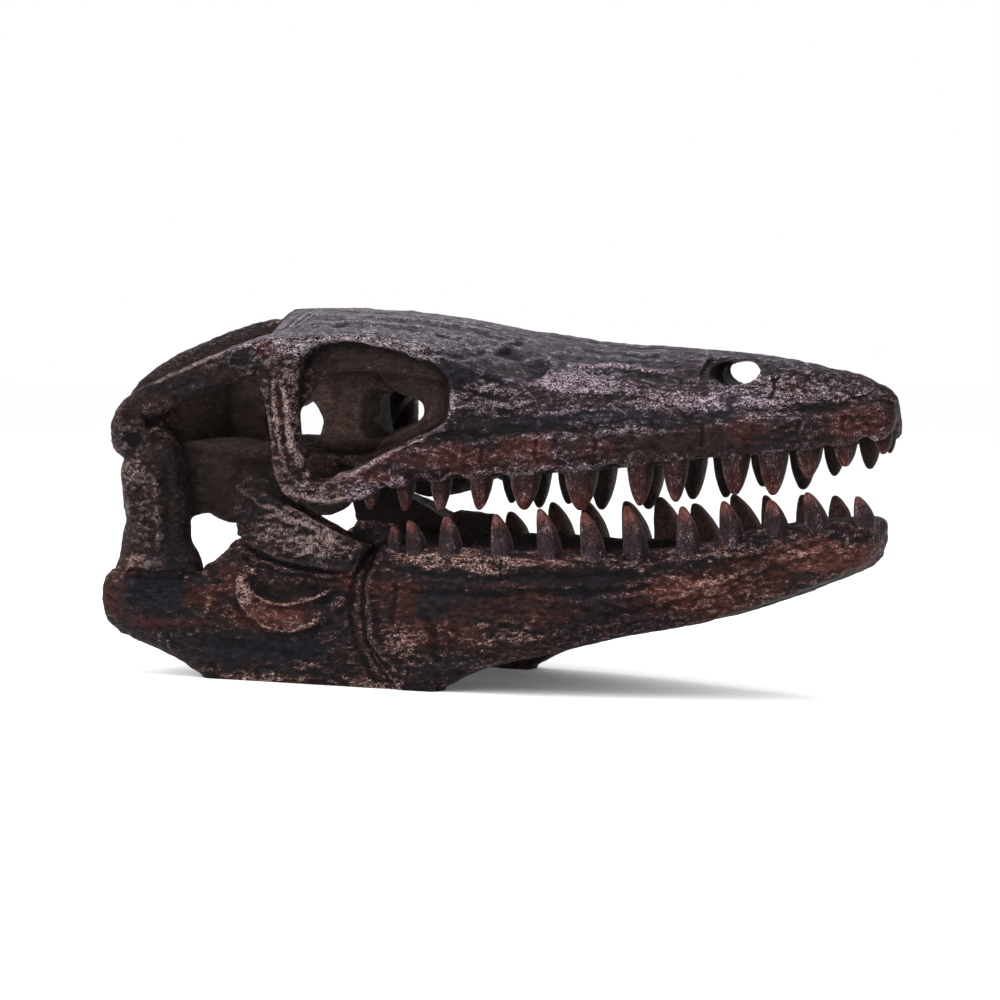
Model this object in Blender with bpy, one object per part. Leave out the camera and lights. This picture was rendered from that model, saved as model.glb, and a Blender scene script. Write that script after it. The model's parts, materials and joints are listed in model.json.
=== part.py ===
"""Mosasaur skull, a solid cast replica 0.32 m long that stands on the flat undersides of its own jaws.

Skull coordinates, in millimetres: x runs forward from the hindmost point of the jaws, w outward from the
mid-plane, z up from the floor. The right half is modelled, parted into bones by thin cuts, and mirrored.
Row frame, in metres: +X towards the snout, +Y to the animal's left, +Z up, origin under the middle.
"""

import math

import bmesh
import bpy
from mathutils import Matrix, Vector

MM = 0.001
REAR, TIP = -2.1, 320.4  # hindmost point of the jaws and tip of the snout
GAP = 0.3  # between neighbouring bones
PAST_MIDLINE = 4.0  # how far the right half reaches over the mid-plane before it is mirrored
JAW_JOINT_HEIGHT = 43.0  # where the quadrate's foot stands on the lower jaw

CRANIUM_VOXEL = 1.0
MANDIBLE_VOXEL = 1.0
CRANIUM_TRIANGLES = 960  # of the right half, before it is parted
MANDIBLE_TRIANGLES = 440
SKIN_SOLVER = "MANIFOLD"  # for cuts in a fused skin, where the exact solver loses faces

# Upper jaw and snout: x, half width, margin height, top height, palate height, side power, top power
SNOUT = [
    (108, 46.5, 80.0, 148.0, 90, 6.0, 0.50),
    (135, 45.5, 81.0, 145.0, 91, 5.5, 0.50),
    (150, 44.5, 82.0, 142.5, 92, 5.0, 0.50),
    (165, 43.0, 83.0, 140.3, 92, 4.0, 0.52),
    (184, 41.0, 84.4, 137.8, 93, 3.0, 0.56),
    (200, 38.0, 85.4, 135.5, 94, 2.6, 0.62),
    (213, 35.0, 86.6, 134.3, 95, 2.3, 0.66),
    (225, 31.6, 88.2, 133.8, 97, 2.1, 0.70),
    (238, 27.4, 90.4, 133.4, 98, 2.0, 0.72),
    (255, 23.0, 91.6, 131.8, 100, 2.0, 0.75),
    (270, 19.5, 93.2, 130.5, 101, 2.0, 0.75),
    (283, 17.0, 94.6, 128.4, 102, 2.0, 0.72),
    (297, 14.0, 96.6, 125.0, 102, 2.0, 0.65),
    (306, 12.0, 97.8, 122.3, 102, 2.0, 0.58),
    (313, 10.0, 98.6, 119.6, 103, 2.2, 0.52),
    (318, 7.4, 99.8, 116.2, 104, 2.2, 0.50),
    (320.6, 4.0, 102.0, 111.4, 106, 2.2, 0.50),
]
# Skull roof: x, half width, edge height, mid-line height, thickness
ROOF = [
    (60, 11, 146.0, 149.5, 9.0),
    (66, 26, 141.0, 150.0, 9.0),
    (72, 42, 136.0, 150.3, 9.0),
    (80, 48, 135.0, 150.0, 9.0),
    (90, 48, 136.5, 149.8, 8.5),
    (100, 47, 138.0, 149.0, 8.0),
    (115, 46, 138.5, 148.0, 8.0),
    (130, 45, 136.8, 146.3, 8.0),
    (145, 44, 132.5, 144.0, 8.0),
    (157, 42, 128.0, 142.0, 9.0),
    (168, 39, 122.0, 140.0, 9.0),
]
# Braincase: x, half width, lower and upper height
BRAINCASE = [
    (9, 8, 97, 123),
    (13, 13, 91, 126),
    (20, 16, 87, 131),
    (32, 17, 85, 137),
    (45, 16, 85, 142.5),
    (55, 14, 86, 147),
    (66, 12.5, 86, 149.0),
    (84, 13, 86, 149.0),
]
CREST_SHARE = 0.4  # the braincase's width at its crest, of that at its widest
# Floor of the braincase and palate: x, half width, lower and upper height
SKULL_FLOOR = [
    (40, 15, 83, 92),
    (62, 18, 84, 91),
    (85, 22, 85, 91),
    (105, 28, 85, 91),
    (125, 36, 84, 91),
    (146, 41, 85, 93),
]
# Bars of bone: x, w, z, half thickness outward, half depth in the side view
PILLAR = [(91, 0, 88, 17, 17), (91, 0, 100, 14, 16), (91, 0, 120, 12, 15), (91, 0, 136, 13, 18)]
JUGAL = [
    (84.5, 46.5, 92, 4.6, 6.5),
    (87.0, 46.5, 82, 4.8, 6.8),
    (94.0, 46.5, 77, 5.0, 6.2),
    (104.0, 46.3, 76.4, 5.0, 5.4),
    (117.0, 45.8, 79.4, 5.0, 5.6),
    (130.0, 45.0, 84.5, 5.0, 7.0),
    (145.0, 43.0, 90.0, 5.0, 8.5),
    (160.0, 40.0, 94.0, 4.5, 9.0),
]
POSTORBITAL = [
    (84.5, 46.5, 86, 4.6, 6.4),
    (84.0, 46.8, 98, 4.6, 6.6),
    (82.5, 47.0, 112, 4.6, 7.6),
    (81.0, 46.5, 124, 4.8, 10.5),
    (80.5, 44.5, 136, 5.0, 15.0),
]
TEMPORAL_ARCH = [
    (78, 45.5, 131.0, 5.0, 7.5),
    (66, 46.5, 128.6, 4.8, 7.0),
    (52, 47.6, 124.0, 4.8, 6.6),
    (38, 48.6, 118.8, 4.8, 6.6),
    (24, 49.5, 113.0, 5.2, 7.0),
    (14, 50.0, 106.5, 5.8, 8.0),
    (10.4, 50.0, 99.5, 6.2, 8.2),
    (10.6, 50.0, 93.5, 5.8, 6.5),
]
PARIETAL_RAMUS = [
    (54, 5, 140.5, 6.0, 5.5),
    (40, 14, 136.2, 5.0, 5.5),
    (27, 28, 128.6, 4.6, 5.5),
    (16, 42, 117.0, 4.6, 5.5),
    (12, 48, 108.0, 4.6, 5.5),
]
OCCIPUT = [(30, 6, 106, 8, 17), (26, 26, 104, 8, 17), (18, 45, 99, 8, 14)]
QUADRATE = [
    (19.4, 47.5, 98, 6.5, 8.5),
    (20.9, 47.5, 88, 8.0, 13.5),
    (21.0, 47.5, 77, 8.6, 15.4),
    (23.2, 47.2, 64, 7.8, 14.0),
    (22.6, 47.4, 54, 8.0, 15.4),
    (22.6, 47.8, 45, 8.4, 20.5),
    (22.6, 48.0, 38, 8.4, 21.5),
]
PTERYGOID = [
    (30, 43, 80, 4.0, 12.0),
    (46, 35, 78.5, 3.6, 14.0),
    (60, 29, 79.5, 3.6, 12.5),
    (74, 25, 82.5, 3.8, 8.5),
    (92, 22, 86.5, 4.5, 4.5),
]
# The orbit's rim in the side view: x, z
ORBIT_RIM = [
    (90.5, 104),
    (90.5, 122),
    (95.5, 132),
    (107, 135.5),
    (124, 134),
    (141, 130),
    (154, 123.5),
    (157.5, 113),
    (153, 101.5),
    (137, 94),
    (119, 86.5),
    (106, 81.8),
    (96.5, 86),
    (91.5, 94),
]
# The orbit narrows inward: w, share of the rim's size, x and z of its middle
ORBIT_DEPTHS = [
    (62, 1.06, 123.5, 109.5),
    (46, 1.00, 123.5, 109.5),
    (36, 0.92, 122.5, 109.5),
    (24, 0.74, 119.0, 109.0),
    (12, 0.46, 113.0, 107.5),
    (0, 0.31, 110.0, 106.5),
    (-6, 0.29, 109.5, 106.5),
]
# Hollows: centre x, w, z and radii along x, w, z
TEMPORAL_HOLLOW = ((58, 28.5, 108), (37, 14.0, 19))
BRAINCASE_WINDOW = ((65.2, 0, 103.5), (14.0, 40, 10.5))
NARIS = ((260.0, 6, 122.6), (9.4, 16, 5.2))

# Lower jaw behind the dentary: x, mid w, half thickness, lower and upper height
POSTDENTARY = [
    (-2.6, 48.5, 4.4, 26.5, 36.5),
    (0.0, 48.2, 6.3, 19.5, 42.0),
    (8, 47.6, 7.4, 15.0, 46.5),
    (22, 46.6, 7.8, 10.5, 46.5),
    (36, 45.6, 7.5, 4.5, 46.0),
    (44, 45.1, 7.3, 0.0, 46.0),
    (49, 44.8, 7.2, -6.0, 47.5),
    (55, 44.4, 7.1, -6.0, 52.0),
    (63, 43.9, 7.0, -6.0, 57.5),
    (90, 42.5, 6.6, -6.0, 57.0),
    (110, 41.3, 6.3, -6.0, 54.5),
    (134, 40.0, 5.6, -6.0, 50.0),
]
DENTARY = [
    (118.5, 41.6, 6.2, -6.0, 54.6),
    (122, 41.4, 6.8, -6.0, 56.2),
    (146.5, 39.5, 6.8, -6.0, 56.6),
    (150.5, 39.2, 6.8, 0.2, 56.6),
    (153.5, 39.0, 6.8, 2.2, 56.6),
    (164, 38.2, 6.8, 7.4, 56.5),
    (175, 37.2, 6.8, 11.2, 56.4),
    (200, 32.7, 6.7, 17.4, 56.2),
    (222, 26.8, 6.6, 23.2, 56.2),
    (231, 24.2, 6.5, 25.0, 56.4),
    (247, 19.4, 6.4, 28.2, 58.2),
    (261, 15.8, 6.3, 32.4, 62.0),
    (273, 13.2, 6.4, 36.6, 65.2),
    (289, 9.6, 7.0, 42.6, 67.2),
    (301, 6.8, 6.8, 47.6, 68.8),
    (307, 5.5, 6.2, 50.2, 69.6),
    (311.8, 4.8, 5.4, 53.4, 69.6),
    (314.4, 4.2, 4.2, 58.5, 68.6),
]
DENTARY_INNER_RISE = 2.4  # the jaw's top edge on the tongue's side, over that on the outer side
# Plates: w, and their outline in the side view at that depth
CORONOID_OUTER = [(64, 78), (63, 68), (65, 59.5), (72, 55), (84, 51), (100, 48), (118, 47.5), (121, 56)]
CORONOID_OUTER += [(110, 60), (94, 67), (78, 73)]
CORONOID_INNER = [(61, 82.5), (60.5, 71), (64, 60), (72, 56), (84, 52), (100, 49), (118, 48), (121, 56)]
CORONOID_INNER += [(110, 60.5), (94, 68), (78, 75)]
CORONOID = [(40.5, 1.5, CORONOID_INNER), (43, 0, CORONOID_INNER), (49.5, 0, CORONOID_OUTER)]
CORONOID += [(52, 1.8, CORONOID_OUTER)]
INNER_PLATE_OUTLINE = [(106, 48), (109.5, 59), (113.5, 64.6), (122, 64.6), (131, 63.6), (135, 58.5)]
INNER_PLATE_OUTLINE += [(142, 56), (146, 48)]
INNER_PLATE = [(36.5, 1.0, INNER_PLATE_OUTLINE), (37.5, 0, INNER_PLATE_OUTLINE)]
INNER_PLATE += [(40.5, 0, INNER_PLATE_OUTLINE), (41.5, 1.0, INNER_PLATE_OUTLINE)]
FOSSA_LIP = [
    (65.0, 49.2, 42.0, 2.6, 3.2),
    (68.0, 49.2, 33.0, 3.0, 4.0),
    (77.0, 48.8, 27.0, 3.2, 4.4),
    (89.0, 48.2, 25.0, 3.2, 4.4),
    (101.0, 47.2, 28.0, 2.8, 3.8),
    (111.0, 46.4, 35.0, 2.2, 2.8),
]

# Teeth, rear to front: x, width at the base, height, how far back the tip lies
UPPER_RIGHT_TEETH = [
    (120.0, 8.0, 10.7, 0.0),
    (135.8, 8.0, 11.6, 0.5),
    (150.9, 8.8, 12.1, 0.3),
    (167.6, 9.6, 12.6, 1.0),
    (185.5, 12.2, 13.6, 0.6),
    (207.1, 13.8, 15.0, 0.4),
    (228.8, 10.6, 15.7, 0.3),
    (241.5, 10.6, 16.0, 0.0),
    (263.4, 11.4, 14.9, 0.3),
    (277.2, 12.0, 16.3, 0.2),
    (290.2, 10.4, 11.5, 0.3),
    (303.1, 9.6, 8.8, 0.0),
    (316.2, 7.0, 6.2, 0.0),
]
UPPER_LEFT_TEETH = [
    (126.0, 8.0, 11.5, 0.3),
    (139.4, 9.2, 12.5, 0.3),
    (153.0, 10.4, 15.0, 0.4),
    (167.4, 10.4, 14.0, 0.5),
    (183.4, 12.4, 17.0, 0.6),
    (206.4, 13.4, 17.6, 0.6),
    (228.0, 11.4, 15.6, 0.3),
    (243.8, 11.0, 16.4, 0.2),
    (261.0, 10.4, 13.0, 0.2),
    (278.8, 11.8, 15.5, 0.2),
    (292.4, 9.2, 11.8, 0.2),
    (307.3, 9.0, 10.7, 0.0),
    (316.0, 5.0, 6.0, 0.0),
]
LOWER_RIGHT_TEETH = [
    (132.4, 6.4, 8.0, 0.6),
    (141.0, 8.0, 10.4, 1.8),
    (155.5, 8.8, 12.2, 0.4),
    (177.0, 8.6, 13.8, 1.4),
    (195.5, 9.2, 16.2, 2.8),
    (211.8, 9.4, 15.2, 2.6),
    (227.6, 9.2, 17.6, 2.4),
    (246.6, 9.2, 15.9, 1.2),
    (262.3, 9.0, 13.8, 1.8),
    (278.6, 9.2, 10.8, 0.8),
    (293.2, 9.0, 12.0, 2.4),
    (310.4, 7.8, 9.0, 1.6),
]
LOWER_LEFT_TEETH = [
    (140.6, 10.0, 9.5, 1.5),
    (162.4, 11.0, 14.0, 2.5),
    (178.6, 11.5, 15.2, 2.5),
    (199.2, 12.0, 16.0, 3.0),
    (216.0, 13.0, 18.3, 3.0),
    (233.8, 12.5, 15.8, 3.3),
    (253.4, 12.5, 16.6, 4.0),
    (265.0, 9.0, 13.8, 2.0),
    (280.4, 9.0, 11.5, 1.0),
    (294.4, 9.0, 9.8, 0.6),
]
UPPER_ROW_INSET = 4.4  # from the upper jaw's outer face to the middle of the tooth row
LOWER_ROW_OFFSET = 2.4  # from the middle of the lower jaw out to the middle of its tooth row
TOOTH_THICKNESS = 0.82  # across the jaw, as a share of its width along it
TOOTH_ROOT = 5.0
TOOTH_SIDES = 6
# Tooth profile: share of the height, share of the base's radius
TOOTH_PROFILE = [(0.0, 1.0), (0.6, 0.8), (1.0, 0.26)]

PREMAXILLA_SUTURE = 298  # at the tooth margin
# Bones of the cranium, in the order they are cut out: name, paired, inner w, outer w, outline in x, z
CRANIUM_BONES = [
    (
        "premaxilla",
        False,
        None,
        60,
        [(298, 60), (298, 103), (288, 112), (288, 150), (330, 150), (330, 60)],
    ),
    (
        "maxilla",
        True,
        GAP / 2,
        60,
        [(112, 60), (112, 84.5), (146, 96), (160, 108), (166, 150), (330, 150), (330, 60)],
    ),
    ("quadrate", True, 33, 60, [(-10, 30), (-10, 88.5), (37, 88.5), (48, 84), (48, 30)]),
    ("squamosal", True, 33, 60, [(-10, 85), (-10, 150), (52, 150), (58, 100), (30, 85)]),
    ("pterygoid", True, 19.5, 40.5, [(20, 50), (20, 94), (60, 94), (70, 89), (78, 82), (100, 81), (100, 50)]),
    ("jugal", True, 33, 60, [(70, 60), (70, 89), (115, 89), (150, 104), (150, 60)]),
    ("postorbital", True, 33, 60, [(48, 85), (48, 129), (100, 129), (100, 85)]),
    ("prefrontal", True, 14, 60, [(111, 90), (130, 128), (180, 128), (180, 90)]),
    ("parietal", False, None, 60, [(-10, 126), (-10, 160), (72, 160), (72, 126)]),
    ("frontal", False, None, 60, [(60, 125), (60, 160), (180, 160), (180, 125)]),
]
LAST_CRANIUM_BONE = "braincase"
# Bones of the lower jaw, in the order they are cut out
DENTARY_SUTURE = [(129, 60), (124, 52), (121, 45), (119.6, 34), (121, 22), (125, 12), (131, 5), (138, -5)]
MANDIBLE_BONES = [
    ("dentary", True, GAP / 2, 60, DENTARY_SUTURE + [(330, -5), (330, 90), (129, 90)]),
    (
        "coronoid",
        True,
        30,
        60,
        [(58, 58.5), (69, 57.8), (80, 52.8), (97, 47.6), (118, 46.6), (124, 90), (58, 90)],
    ),
    ("articular", True, 30, 60, [(-10, -5), (-10, 60), (50, 60), (53, 30), (47, -5)]),
]
LAST_MANDIBLE_BONE = "surangular"

MATERIALS = {
    "bone": ((0.075, 0.045, 0.038, 1.0), 0.62),
    "jaw": ((0.085, 0.042, 0.033, 1.0), 0.60),
}


# ---------------------------------------------------------------- shapes


def to_row(x, w, z):
    """A point in skull coordinates, in the row frame."""
    return Vector(((x - 0.5 * (REAR + TIP)) * MM, -w * MM, z * MM))


def add_object(name, points, faces):
    mesh = bpy.data.meshes.new(name)
    mesh.from_pydata([to_row(*p) for p in points], [], faces)
    shape = bpy.data.objects.new(name, mesh)
    bpy.context.scene.collection.objects.link(shape)
    face_out(shape)
    return shape


def face_out(shape):
    body = bmesh.new()
    body.from_mesh(shape.data)
    bmesh.ops.recalc_face_normals(body, faces=body.faces)
    if body.calc_volume(signed=True) < 0:
        bmesh.ops.reverse_faces(body, faces=body.faces)
    body.to_mesh(shape.data)
    body.free()


def skin_over(name, rings):
    """A closed mesh over a row of rings that each hold the same number of points."""
    count = len(rings[0])
    points = [p for ring in rings for p in ring]
    faces = [list(range(count))[::-1], [len(points) - count + i for i in range(count)]]
    for start in range(0, len(points) - count, count):
        for i in range(count):
            j = (i + 1) % count
            faces.append([start + i, start + j, start + count + j, start + count + i])
    return add_object(name, points, faces)


def between(rows, steps):
    """A smooth run of rows through the given ones (Catmull-Rom)."""
    rows = [Vector(r) for r in rows]
    padded = [2 * rows[0] - rows[1], *rows, 2 * rows[-1] - rows[-2]]
    found = []
    for a, b, c, d in zip(padded, padded[1:], padded[2:], padded[3:]):
        for step in range(steps):
            t = step / steps
            found.append(
                b + 0.5 * t * (c - a + t * (2 * a - 5 * b + 4 * c - d + t * (3 * (b - c) + d - a)))
            )
    return [*found, rows[-1]]


def read_off(rows, x, column):
    """The value in a column of a table of stations at x, in straight lines between them."""
    for low, high in zip(rows, rows[1:]):
        if x <= high[0]:
            share = max(0.0, (x - low[0]) / (high[0] - low[0]))
            return low[column] + share * (high[column] - low[column])
    return rows[-1][column]


def power(value, exponent):
    return math.copysign(abs(value) ** exponent, value)


def bar(name, rows, steps=4, sides=16, roundness=2.4):
    """A bar of bone along a smooth path: its thickness lies outward, its depth across its run."""
    path = between(rows, steps)
    centres = [Vector(p[:3]) for p in path]
    across = centres[-1] - centres[0]
    lateral = Vector((1, 0, 0)) if abs(across.y) > 0.9 * across.length else Vector((0, 1, 0))
    rings = []
    for i, (x, w, z, thickness, depth) in enumerate(path):
        run = (centres[min(i + 1, len(centres) - 1)] - centres[max(i - 1, 0)]).normalized()
        side = (lateral - lateral.dot(run) * run).normalized()
        up = run.cross(side)
        ends = [(0.0, 1.0)]
        if i == 0:
            ends = [(-0.55, 0.45), (-0.35, 0.8), (0.0, 1.0)]
        if i == len(path) - 1:
            ends = [(0.0, 1.0), (0.35, 0.8), (0.55, 0.45)]
        for along, size in ends:
            centre = centres[i] + run * along * thickness
            rings.append(
                [
                    centre
                    + side * thickness * size * power(math.cos(turn), 2 / roundness)
                    + up * depth * size * power(math.sin(turn), 2 / roundness)
                    for turn in (2 * math.pi * k / sides for k in range(sides))
                ]
            )
    return skin_over(name, rings)


def snout_ring(x, half_width, margin, top, palate, side_power, top_power, steps=9):
    """The snout's section: an arch over the tooth margins, and a vault between them."""
    arch = []
    for k in range(steps):
        rise = math.sin(0.5 * math.pi * k / steps)
        wide = half_width * (1 - rise**side_power) ** top_power
        arch.append((wide, margin + (top - margin) * rise))
    shelf = min(12.0, 0.62 * half_width)
    vault = [(half_width - 0.25 * shelf, margin - 0.5), (half_width - shelf, margin)]
    vault += [
        ((half_width - shelf) * share, palate - (palate - margin) * share**3) for share in (0.8, 0.45)
    ]
    right = arch[::-1] + vault
    ring = [(0.0, top)] + right + [(0.0, palate)] + [(-w, z) for w, z in right[::-1]]
    return [(x, w, z) for w, z in ring]


def plate_ring(x, half_width, edge, middle, thickness, steps=7):
    """The roof's section: a low dome of even thickness."""
    shares = [math.sin(0.5 * math.pi * k / steps) for k in range(-steps, steps + 1)]
    upper = [(x, half_width * s, edge + (middle - edge) * (1 - abs(s) ** 2.2)) for s in shares]
    lower = [(px, w * 0.97, z - thickness) for px, w, z in upper[::-1]]
    return upper + lower


def slab_ring(x, mid, half_width, low, high, top_share=1.0, inner_rise=0.0, roundness=3.2, sides=20):
    """An upright section with rounded corners; its top may narrow, or rise towards the mid-plane."""
    ring = []
    for turn in (2 * math.pi * k / sides for k in range(sides)):
        height = power(math.sin(turn), 2 / roundness)
        wide = power(math.cos(turn), 2 / roundness)
        lift = inner_rise * max(0.0, height) * max(0.0, -wide)
        narrowing = 1 - (1 - top_share) * max(0.0, height)
        z = 0.5 * (low + high) + 0.5 * (high - low) * height + lift
        ring.append((x, mid + half_width * narrowing * wide, z))
    return ring


def ellipsoid(name, centre, radii, steps=12):
    rings = []
    for k in range(1, steps):
        polar = math.pi * k / steps
        rings.append(
            [
                (
                    centre[0] + radii[0] * math.sin(polar) * math.cos(turn),
                    centre[1] + radii[1] * math.cos(polar),
                    centre[2] + radii[2] * math.sin(polar) * math.sin(turn),
                )
                for turn in (math.pi * j / steps for j in range(2 * steps))
            ]
        )
    return skin_over(name, rings)


def orbit_bowl():
    """The eye's hollow, with the rim's outline at the skull's side and a small window at the mid-plane."""
    rim = between([*ORBIT_RIM, ORBIT_RIM[0]], 3)[:-1]
    mid_x = 0.5 * (min(p[0] for p in rim) + max(p[0] for p in rim))
    mid_z = 0.5 * (min(p[1] for p in rim) + max(p[1] for p in rim))
    rings = []
    for w, share, x, z in between(ORBIT_DEPTHS, 3):
        rings.append([(x + share * (p[0] - mid_x), w, z + share * (p[1] - mid_z)) for p in rim])
    return skin_over("orbit_bowl", rings)


def prism(name, outline, inner, outer):
    """A block with the outline in the side view, from inner w to outer w."""
    return skin_over(name, [[(x, w, z) for x, z in outline] for w in (inner, outer)])


def plate(name, layers):
    """A plate from its outlines at several depths, each shrunk by its own distance."""
    return skin_over(name, [[(x, w, z) for x, z in grown(outline, -by)] for w, by, outline in layers])


def grown(outline, by):
    """The outline moved outward by a distance, corners kept sharp."""
    area = sum(a[0] * b[1] - b[0] * a[1] for a, b in zip(outline, outline[1:] + outline[:1]))
    outward = math.copysign(by, area)
    moved = []
    for before, here, after in zip(outline[-1:] + outline[:-1], outline, outline[1:] + outline[:1]):
        first = Vector((here[0] - before[0], here[1] - before[1])).normalized()
        second = Vector((after[0] - here[0], after[1] - here[1])).normalized()
        normal = (Vector((first.y, -first.x)) + Vector((second.y, -second.x))).normalized()
        reach = outward / max(0.3, normal.dot(Vector((first.y, -first.x))))
        moved.append((here[0] + normal.x * reach, here[1] + normal.y * reach))
    return moved


# ---------------------------------------------------------------- modelling steps


def modify(shape, kind, **settings):
    modifier = shape.modifiers.new(kind.lower(), kind)
    for key, value in settings.items():
        setattr(modifier, key, value)
    graph = bpy.context.evaluated_depsgraph_get()
    made = bpy.data.meshes.new_from_object(shape.evaluated_get(graph), depsgraph=graph)
    shape.modifiers.clear()
    old = shape.data
    shape.data = made
    bpy.data.meshes.remove(old)


def drop(shape):
    mesh = shape.data
    bpy.data.objects.remove(shape)
    bpy.data.meshes.remove(mesh)


def boolean(shape, other, operation, solver="EXACT"):
    modify(shape, "BOOLEAN", object=other, operation=operation, solver=solver)


def cut(shape, *cutters, solver="EXACT"):
    for cutter in cutters:
        boolean(shape, cutter, "DIFFERENCE", solver)
        drop(cutter)


def joined(name, shapes):
    body = bmesh.new()
    for shape in shapes:
        body.from_mesh(shape.data)
        drop(shape)
    mesh = bpy.data.meshes.new(name)
    body.to_mesh(mesh)
    body.free()
    whole = bpy.data.objects.new(name, mesh)
    bpy.context.scene.collection.objects.link(whole)
    return whole


def fused(name, shapes, voxel):
    """The shapes grown together into one skin."""
    whole = joined(name, shapes)
    modify(whole, "REMESH", mode="VOXEL", voxel_size=voxel * MM)
    return whole


def keep_above(shape, height):
    """Cuts the shape off flat at a height."""
    floor = prism("below", [(-20, height - 60), (-20, height), (350, height), (350, height - 60)], -80, 80)
    cut(shape, floor, solver=SKIN_SOLVER)


def thinned(shape, triangles):
    shape.data.calc_loop_triangles()
    share = triangles / len(shape.data.loop_triangles)
    modify(shape, "DECIMATE", ratio=min(1.0, share))


def largest_piece(shape):
    """Drops crumbs that a cut left beside the main body."""
    body = bmesh.new()
    body.from_mesh(shape.data)
    left, islands = set(body.verts), []
    while left:
        island, edge = set(), [left.pop()]
        while edge:
            vertex = edge.pop()
            island.add(vertex)
            for other in (e.other_vert(vertex) for e in vertex.link_edges):
                if other in left:
                    left.discard(other)
                    edge.append(other)
        islands.append(island)
    islands.sort(key=len)
    for island in islands[:-1]:
        bmesh.ops.delete(body, geom=list(island), context="VERTS")
    body.to_mesh(shape.data)
    body.free()


def tooth(name, base, tip, width, thickness):
    """A bluntly pointed, slightly curved tooth from its base to its tip, with a root in the bone."""
    axis = tip - base
    height = axis.length
    straight = Vector((0, 0, math.copysign(1, axis.z)))
    rings = []
    for share, size in [(-TOOTH_ROOT / height, 0.8), *TOOTH_PROFILE]:
        centre = base + straight * (share * axis.z * straight.z)
        centre += Vector((axis.x, axis.y, 0)) * max(0.0, share) ** 1.6
        rings.append(
            [
                (
                    centre.x + 0.5 * width * size * math.cos(turn),
                    centre.y + 0.5 * thickness * size * math.sin(turn),
                    centre.z,
                )
                for turn in (2 * math.pi * k / TOOTH_SIDES for k in range(TOOTH_SIDES))
            ]
        )
    return skin_over(name, rings)


# ---------------------------------------------------------------- the forms


def cut_at_middle(shape):
    """Opens the right half where it meets the mid-plane."""
    body = bmesh.new()
    body.from_mesh(shape.data)
    everything = [*body.verts, *body.edges, *body.faces]
    opened = bmesh.ops.bisect_plane(
        body, geom=everything, plane_co=(0, 0, 0), plane_no=(0, 1, 0), clear_outer=True
    )
    for item in opened["geom_cut"]:
        if isinstance(item, bmesh.types.BMVert):
            item.co.y = 0.0
    body.to_mesh(shape.data)
    body.free()


def make_whole(shape):
    """The right half with its mirror image, sewn at the mid-plane."""
    cut_at_middle(shape)
    modify(shape, "MIRROR", use_axis=(False, True, False), merge_threshold=0.000001)


def cranium():
    core = [
        skin_over("snout", [snout_ring(*row) for row in between(SNOUT, 3)]),
        skin_over("roof", [plate_ring(*row) for row in between(ROOF, 3)]),
        skin_over(
            "case",
            [slab_ring(x, 0, w, lo, hi, top_share=CREST_SHARE) for x, w, lo, hi in between(BRAINCASE, 3)],
        ),
        skin_over("floor", [slab_ring(x, 0, w, lo, hi) for x, w, lo, hi in between(SKULL_FLOOR, 2)]),
        bar("pillar", PILLAR),
    ]
    half = fused("cranium", core, CRANIUM_VOXEL)
    cut(
        half,
        orbit_bowl(),
        ellipsoid("temporal_hollow", *TEMPORAL_HOLLOW),
        ellipsoid("braincase_window", *BRAINCASE_WINDOW),
        ellipsoid("naris", *NARIS),
        prism("left_side", [(-20, -20), (-20, 200), (350, 200), (350, -20)], -80, -PAST_MIDLINE),
        solver=SKIN_SOLVER,
    )
    bars = [
        bar("jugal_bar", JUGAL),
        bar("postorbital_bar", POSTORBITAL),
        bar("temporal_arch", TEMPORAL_ARCH),
        bar("parietal_ramus", PARIETAL_RAMUS),
        bar("occiput", OCCIPUT),
        bar("quadrate_column", QUADRATE),
        bar("pterygoid_wing", PTERYGOID),
    ]
    half = fused("cranium", [half, *bars], CRANIUM_VOXEL)
    modify(half, "SMOOTH", factor=0.5, iterations=4)
    thinned(half, CRANIUM_TRIANGLES)
    keep_above(half, JAW_JOINT_HEIGHT + GAP / 2)
    make_whole(half)
    return half


def mandible():
    """The right half of the lower jaw, which meets the left one at the mid-plane in front."""
    rear = skin_over("postdentary", [slab_ring(*row) for row in between(POSTDENTARY, 3)])
    rise = DENTARY_INNER_RISE
    rings = [slab_ring(*row, inner_rise=rise) for row in between(DENTARY, 3)]
    front = skin_over("dentary_body", rings)
    suture = DENTARY_SUTURE + [(90, -5), (90, 60)]
    cut(front, prism("behind_suture", suture, 20, 70))
    forms = [rear, front, plate("coronoid_plate", CORONOID), plate("inner_plate", INNER_PLATE)]
    half = fused("mandible", [*forms, bar("fossa_lip", FOSSA_LIP, roundness=2.0)], MANDIBLE_VOXEL)
    modify(half, "SMOOTH", factor=0.5, iterations=3)
    thinned(half, MANDIBLE_TRIANGLES)
    keep_above(half, 0.0)
    joint = [(-20, JAW_JOINT_HEIGHT - GAP / 2), (-20, 90), (46, 90), (46, JAW_JOINT_HEIGHT - GAP / 2)]
    cut(half, prism("joint", joint, 20, 70), solver=SKIN_SOLVER)
    return half


def taken_out(whole, name, outline, inner, outer):
    """The part of the whole inside a block, cut from it with a gap all round."""
    bone = whole.copy()
    bone.data = whole.data.copy()
    bone.name = name
    bpy.context.scene.collection.objects.link(bone)
    block = prism("block", outline, inner, outer)
    boolean(bone, block, "INTERSECT", SKIN_SOLVER)
    drop(block)
    largest_piece(bone)
    return bone


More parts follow.
